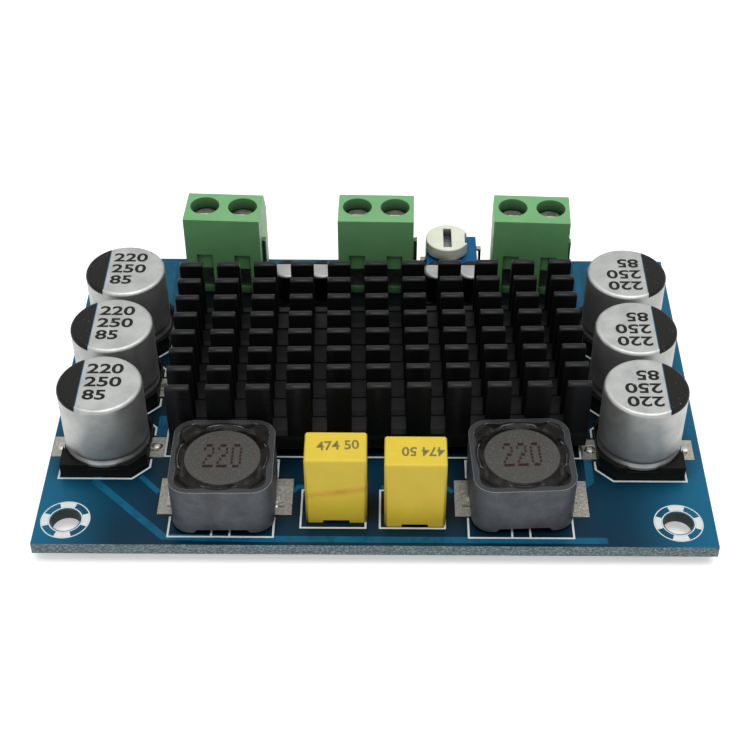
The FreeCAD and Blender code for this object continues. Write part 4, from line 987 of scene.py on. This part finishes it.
def pocket_reach(angle):
    """How far the resin reaches from the middle at an angle: into the four corner pockets and round the bore."""
    bore = 5.25
    mouth = Vector((4.85, 2.5))
    side = Vector((6.5, 1.1)) - mouth
    off = abs(math.remainder(angle - math.pi / 4, math.pi / 2))
    if off > math.atan2(mouth.y, mouth.x):
        return bore
    share = (mouth.y - mouth.x * math.tan(off)) / (side.x * math.tan(off) - side.y)
    return max(bore, min(6.42, (mouth.x + side.x * share) / math.cos(off)))


def film_reach(angle):
    """How far a film of resin has crept over the shield's top: a circle with a round lobe at each corner."""
    film = 5.53
    place = 5.5
    lobe = 1.36
    off = math.remainder(angle - math.pi / 4, math.pi / 2)
    side = place * math.sin(off)
    if abs(side) > lobe:
        return film
    return max(film, place * math.cos(off) + math.sqrt(lobe ** 2 - side ** 2))


def add_resin(bm, spot, core_top, shield_top, turn):
    """Potting resin round the core and in the corner pockets, crept over the shield's rim in a thin film."""
    steps = 240
    rim = 4.46
    rise = shield_top - core_top
    rings = []
    for step in range(steps):
        angle = 2 * math.pi * step / steps
        reach = pocket_reach(angle)
        film = film_reach(angle) + 0.04 * math.sin(7 * angle + 1.0)
        lump = 0.06 * math.sin(5 * angle + 0.8) + 0.03 * math.sin(13 * angle)
        deep = 0.05 + 0.4 * (reach - 5.25)
        ring = [(rim, -1.0), (reach, -1.0), (reach, rise - 0.1), (film, rise - 0.1), (film, rise + 0.01),
                (film - 0.12, rise + 0.02), (reach, rise + 0.01)]
        for share in (0.88, 0.74, 0.6, 0.45, 0.3, 0.14, 0.0):
            dip = (deep - lump) * math.sin(math.pi * share)
            ring.append((rim + (reach - rim) * share, (rise + 0.03) * share ** 1.4 - 0.02 - dip))
        ways = (math.cos(angle + turn), math.sin(angle + turn))
        rings.append([bm.verts.new((spot.x + out * ways[0], spot.y + out * ways[1], core_top + up))
                      for out, up in ring])
    join_rings(bm, rings, closed=True)


def dot_spots(words, size, centre, turn, level):
    """Places of ink-jet dots, five by seven to a figure, that fill a width and height."""
    spots = []
    last = FIGURE_PITCH * (len(words) - 1) + 4
    for index, figure in enumerate(words):
        for row, line in enumerate(DOTS[figure]):
            for column in [place for place, dot in enumerate(line) if dot == "1"]:
                x = ((index * FIGURE_PITCH + column) / last - 0.5) * size[0]
                y = (0.5 - row / 6) * size[1]
                spots.append((centre[0] + x * math.cos(turn) - y * math.sin(turn),
                              centre[1] + x * math.sin(turn) + y * math.cos(turn), level, 0.0))
    return spots


def make_inductor_details(settings, ink, resin):
    """Dotted digits on the cores, and resin round them."""
    dot = 0.16
    stretch = 1.65
    for name, turn in (("left", math.radians(0.5)), ("right", math.radians(2.8))):
        spot = middle("inductor_shield_" + name)
        top = box("inductor_core_" + name)[1].z
        bm = bmesh.new()
        add_turned(bm, [(0, -0.01), (dot, -0.01), (dot, 0.008), (0, 0.008)], (0, 0), 12)
        bmesh.ops.scale(bm, vec=(1, stretch, 1), verts=bm.verts)
        spots = dot_spots("220", (4.2, settings.digit_height / MM), (spot.x, spot.y + 0.2), turn, top)
        scatter("inductor_digits_" + name, bm, spots, ink)
        bm = bmesh.new()
        add_resin(bm, spot, top, box("inductor_shield_" + name)[1].z, turn)
        put(to_mesh(bm, name), "inductor_resin_" + name, resin, crease=70)


def tooth_form(settings):
    """One tooth of the heat sink: a thin upright block with a rounded crown and eased sides."""
    wide = settings.tooth_length / MM / 2
    thick = settings.tooth_thickness / MM / 2
    low, high = box("heatsink")
    foot = settings.plate_thickness / MM - SUNK
    bm = bmesh.new()
    add_block(bm, -wide, -thick, wide, thick, foot, high.z - low.z)
    crown = [edge for edge in bm.edges if min(v.co.z for v in edge.verts) > foot + 1]
    bmesh.ops.bevel(bm, geom=crown, offset=settings.crown / MM, segments=4, profile=0.5, affect="EDGES")
    sides = [edge for edge in bm.edges if abs(edge.verts[0].co.z - edge.verts[1].co.z) > 1]
    bmesh.ops.bevel(bm, geom=sides, offset=0.07, segments=1, affect="EDGES")
    return bm


def make_sink(settings, material):
    """The heat sink: a base plate with fin stubs, and its grid of teeth."""
    half = settings.plate_length / MM / 2
    deep = settings.plate_depth / MM / 2
    plate = settings.plate_thickness / MM
    inset = 0.02
    thick = settings.tooth_thickness / MM / 2 - inset
    base = bmesh.new()
    add_block(base, -half, -deep, half, deep, 0, plate)
    bmesh.ops.bevel(base, geom=base.edges[:], offset=0.12, segments=2, profile=0.5, affect="EDGES")
    for row in range(settings.rows):
        y = (row - (settings.rows - 1) / 2) * settings.row_pitch / MM
        add_block(base, -half + inset, y - thick, half - inset, y + thick, plate - SUNK,
                  plate + settings.stub / MM)
    holder = in_scene("sink_base", to_mesh(base, "sink_base"))
    tooth = in_scene("sink_tooth", to_mesh(tooth_form(settings), "sink_tooth"))
    low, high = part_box("heatsink")
    mesh = grow(holder, sink_tree(), {
        "Tooth": tooth, "Columns": settings.columns, "Rows": settings.rows, "Column pitch": settings.column_pitch,
        "Row pitch": settings.row_pitch, "Skew": settings.skew,
        "Place": ((low.x + high.x) / 2, (low.y + high.y) / 2, low.z), "Finish": material,
    })
    bpy.data.objects.remove(tooth)
    put(mesh, "heatsink_finished", material, replaces=("heatsink",), crease=50)


class AMPLIFIER_OT_board(bpy.types.Operator):
    """Finish the circuit board: mask, tracks, prints, pads and solder"""

    bl_idname = "amplifier.board"
    bl_label = "Circuit Board"

    def execute(self, context):
        settings = context.scene.amplifier_board
        ink = finish("screen_printed_ink", settings.ink)
        pads = finish("levelled_tin_pad")
        solder = finish("reflowed_solder")
        paint("circuit_board", mask_finish(settings))
        make_tracks(settings, finish("solder_mask_on_copper", settings.mask_on_copper))
        make_board_prints(settings, ink)
        make_footprints(settings, ink, pads)
        make_mount_rings(settings, ink)
        make_hole_walls()
        make_solder(settings.pad_height, solder)
        make_joints(pads, solder)
        for node in ("capacitor_leads", "inductor_clips", "film_capacitor_leads", "amplifier_chip_leads"):
            dress(node, solder)
        return {"FINISHED"}


class AMPLIFIER_OT_chip(bpy.types.Operator):
    """Finish the amplifier chip and the small parts under the heat sink"""

    bl_idname = "amplifier.chip"
    bl_label = "Chip and Small Parts"

    def execute(self, context):
        for node, name, slot, ease in (
                ("amplifier_chip", "black_chip_epoxy", "chip_epoxy", 0.00004),
                ("thermal_compound", "white_heat_compound", "heat_compound", 0.00003),
                ("chip_resistors", "glazed_resistor", "resistor_ceramic", 0.00006),
                ("chip_capacitors", "fired_ceramic", "capacitor_ceramic", 0.00008)):
            dress(node, finish(name), ease)
        return {"FINISHED"}


class AMPLIFIER_OT_sink(bpy.types.Operator):
    """Build the cross-cut heat sink and finish its screws"""

    bl_idname = "amplifier.sink"
    bl_label = "Heat Sink"

    def execute(self, context):
        settings = context.scene.amplifier_sink
        make_sink(settings, finish("black_anodised_aluminium", settings.black))
        steel = finish("zinc_plated_steel", context.scene.amplifier_terminals.steel)
        dress("heatsink_screws", steel, ease=0.00012)
        return {"FINISHED"}


class AMPLIFIER_OT_capacitors(bpy.types.Operator):
    """Finish the can and film capacitors, with their bases, marks and digits"""

    bl_idname = "amplifier.capacitors"
    bl_label = "Capacitors"

    def execute(self, context):
        settings = context.scene.amplifier_capacitors
        can = finish("satin_drawn_aluminium", settings.can)
        # The small cans' finish has painted shade on the fronts that face the heat sink
        can_with_painted_front = finish("satin_aluminium_painted_dark_front", settings.can)
        base = finish("black_moulded_base", settings.base)
        for node in BULK + SMALL:
            dress(node, can if node in BULK else can_with_painted_front, crease=50)
            dress(node.replace("capacitor", "capacitor_base"), base, ease=0.00012)
        make_capacitor_prints(settings, finish("baked_can_ink", settings.mark))
        yellow = finish("yellow_moulded_case", settings.yellow)
        for name in SIDES:
            dress("film_capacitor_" + name, yellow, crease=45)
        make_film_digits(finish("stamped_case_ink"))
        return {"FINISHED"}


class AMPLIFIER_OT_inductors(bpy.types.Operator):
    """Finish the shielded inductors, with their resin and digits"""

    bl_idname = "amplifier.inductors"
    bl_label = "Inductors"

    def execute(self, context):
        settings = context.scene.amplifier_inductors
        ferrite = finish("varnished_ferrite", settings.shield)
        core = finish("ground_ferrite")
        copper = finish("enamelled_copper_winding")
        for name in SIDES:
            dress("inductor_shield_" + name, ferrite, settings.ease)
            dress("inductor_core_" + name, core, ease=0.00012)
            dress("inductor_winding_" + name, copper)
        make_inductor_details(settings, finish("ink_jet_dots"), finish("dark_potting_resin", settings.resin))
        return {"FINISHED"}


class AMPLIFIER_OT_terminals(bpy.types.Operator):
    """Finish the green screw terminals, with their screws, clamps and contacts"""

    bl_idname = "amplifier.terminals"
    bl_label = "Screw Terminals"

    def execute(self, context):
        settings = context.scene.amplifier_terminals
        green = finish("green_moulded_polyamide", settings.green)
        steel = finish("zinc_plated_steel", settings.steel)
        for place in PLACES:
            dress("terminal_housing_" + place, green, settings.ease)
        for number in POLES:
            for node, slot, ease in (("terminal_screw_%d", "terminal_screw_steel", 0.00008),
                                     ("wire_clamp_%d", "clamp_steel", 0.0001)):
                dress(node % number, steel, ease, body=node % number)
        dress("terminal_contacts", steel, ease=0.00008)
        return {"FINISHED"}


class AMPLIFIER_OT_trimmer(bpy.types.Operator):
    """Finish the level trimmer: body, dial, wiper and pins"""

    bl_idname = "amplifier.trimmer"
    bl_label = "Level Trimmer"

    def execute(self, context):
        settings = context.scene.amplifier_trimmer
        steel = finish("zinc_plated_steel", context.scene.amplifier_terminals.steel)
        blue = finish("blue_moulded_body", settings.blue)
        cream = finish("cream_moulded_dial", settings.cream)
        dress("trimmer_body", blue, settings.ease)
        dress("trimmer_dial", cream, settings.ease, body="trimmer_rotor")
        dress("trimmer_wiper", steel, ease=0.00004, body="trimmer_rotor")
        dress("trimmer_pins", steel, ease=0.00006)
        return {"FINISHED"}


def seen_directly(tree):
    """One for what the camera sees, also in metal and through glass, and nothing for the light that it sheds."""
    path = add_node(tree, "ShaderNodeLightPath").outputs
    seen = path["Is Camera Ray"]
    for name in ("Is Glossy Ray", "Is Transmission Ray"):
        seen = add_node(tree, "ShaderNodeMath", {0: seen, 1: path[name]}, operation="MAXIMUM").outputs[0]
    return seen


def make_floor(settings):
    """A plain pale floor under the lowest pin, lifted to white for the eye but not for its shadow."""
    half = 1.5
    lift = 0.45
    floor = CAD_BOX[0].z
    mesh = bpy.data.meshes.new("floor")
    mesh.from_pydata([(-half, -half, floor), (half, -half, floor), (half, half, floor), (-half, half, floor)], [],
                     [(0, 1, 2, 3)])
    paper = finish("matt_paper_floor", settings.floor)
    tree = paper.node_tree
    shader = tree.nodes["Principled BSDF"]
    shader.inputs["Emission Color"].default_value = (1, 1, 1, 1)
    tree.links.new(overlap(tree, seen_directly(tree), lift), shader.inputs["Emission Strength"])
    mesh.materials.append(paper)
    floor_piece = in_scene("floor", mesh)


def make_lights(context, settings):
    """A broad lamp overhead and behind, a weak one in front, and a plain world."""
    for name, spot, width, power in (("key_lamp", Vector((0.07, -0.03, 0.72)), 0.7, settings.key_power),
                                     ("fill_lamp", Vector((-0.5, -0.55, 0.35)), 0.6, settings.fill_power)):
        lamp = bpy.data.lights.new(name, "AREA")
        lamp.shape = "SQUARE"
        lamp.size = width
        lamp.energy = power
        holder = in_scene(name, lamp)
        holder.location = spot
        holder.rotation_mode = "QUATERNION"
        holder.rotation_quaternion = (-spot).to_track_quat("-Z", "Y")
    world = bpy.data.worlds.new("plain_studio")
    world.use_nodes = True
    tree = world.node_tree
    tree.nodes.clear()
    level = add_node(tree, "ShaderNodeMapRange", {
        "Value": seen_directly(tree), "To Min": settings.ambient, "To Max": 1.0})
    sky = add_node(tree, "ShaderNodeBackground", {"Color": (1, 1, 1, 1), "Strength": level.outputs["Result"]})
    add_node(tree, "ShaderNodeOutputWorld", {"Surface": sky.outputs["Background"]})
    context.scene.world = world


def make_camera(context):
    """The photograph's view, solved from the board's corners and the parts' known heights."""
    width = 750
    focal = 1540.24159
    shift_x = -19.025
    shift_y = 3.786
    place = Vector((1.8145, -146.4052, 135.7589)) * MM
    pitch = math.radians(42.1387083)
    yaw = math.radians(0.28033323)
    roll = math.radians(0.5228034)
    ahead = Vector((math.sin(yaw) * math.cos(pitch), math.cos(yaw) * math.cos(pitch), -math.sin(pitch)))
    across = Vector((math.cos(yaw), -math.sin(yaw), 0))
    above = across.cross(ahead)
    right = math.cos(roll) * across + math.sin(roll) * above
    up = math.cos(roll) * above - math.sin(roll) * across
    lens = bpy.data.cameras.new("photo_camera")
    lens.sensor_width = 36.0
    lens.lens = focal / width * lens.sensor_width
    lens.shift_x = shift_x / width
    lens.shift_y = shift_y / width
    lens.clip_start = 0.01
    camera = bpy.data.objects.new("photo_camera", lens)
    turned = Matrix((right, up, -ahead)).transposed()
    camera.matrix_world = Matrix.Translation(place) @ turned.to_4x4()
    context.scene.collection.objects.link(camera)
    context.scene.camera = camera


class AMPLIFIER_OT_stage(bpy.types.Operator):
    """Set up the floor, the soft lamps and the camera"""

    bl_idname = "amplifier.stage"
    bl_label = "Stage"

    def execute(self, context):
        settings = context.scene.amplifier_stage
        make_floor(settings)
        make_lights(context, settings)
        make_camera(context)
        context.scene.view_settings.view_transform = "Standard"
        return {"FINISHED"}


OPERATORS = (AMPLIFIER_OT_board, AMPLIFIER_OT_chip, AMPLIFIER_OT_sink, AMPLIFIER_OT_capacitors,
             AMPLIFIER_OT_inductors, AMPLIFIER_OT_terminals, AMPLIFIER_OT_trimmer, AMPLIFIER_OT_stage)
SETTINGS = {
    "amplifier_board": BoardSettings,
    "amplifier_capacitors": CapacitorSettings,
    "amplifier_sink": SinkSettings,
    "amplifier_inductors": InductorSettings,
    "amplifier_terminals": TerminalSettings,
    "amplifier_trimmer": TrimmerSettings,
    "amplifier_stage": StageSettings,
}


class AMPLIFIER_PT_pieces(bpy.types.Panel):
    """The board's pieces, in the order in which they are made"""

    bl_idname = "AMPLIFIER_PT_pieces"
    bl_label = "Amplifier Board"
    bl_space_type = "VIEW_3D"
    bl_region_type = "UI"
    bl_category = "Amplifier"

    def draw(self, context):
        for operator in OPERATORS:
            self.layout.operator(operator.bl_idname)


def register():
    for kind in (*SETTINGS.values(), *OPERATORS, AMPLIFIER_PT_pieces):
        bpy.utils.register_class(kind)
    for name, kind in SETTINGS.items():
        setattr(bpy.types.Scene, name, bpy.props.PointerProperty(type=kind))


def unregister():
    for name in SETTINGS:
        delattr(bpy.types.Scene, name)
    for kind in (AMPLIFIER_PT_pieces, *reversed(OPERATORS), *SETTINGS.values()):
        bpy.utils.unregister_class(kind)


def main():
    register()
    for operator in OPERATORS:
        name = operator.bl_idname.split(".")[1]
        getattr(bpy.ops.amplifier, name)()


if __name__ == "__main__":
    main()
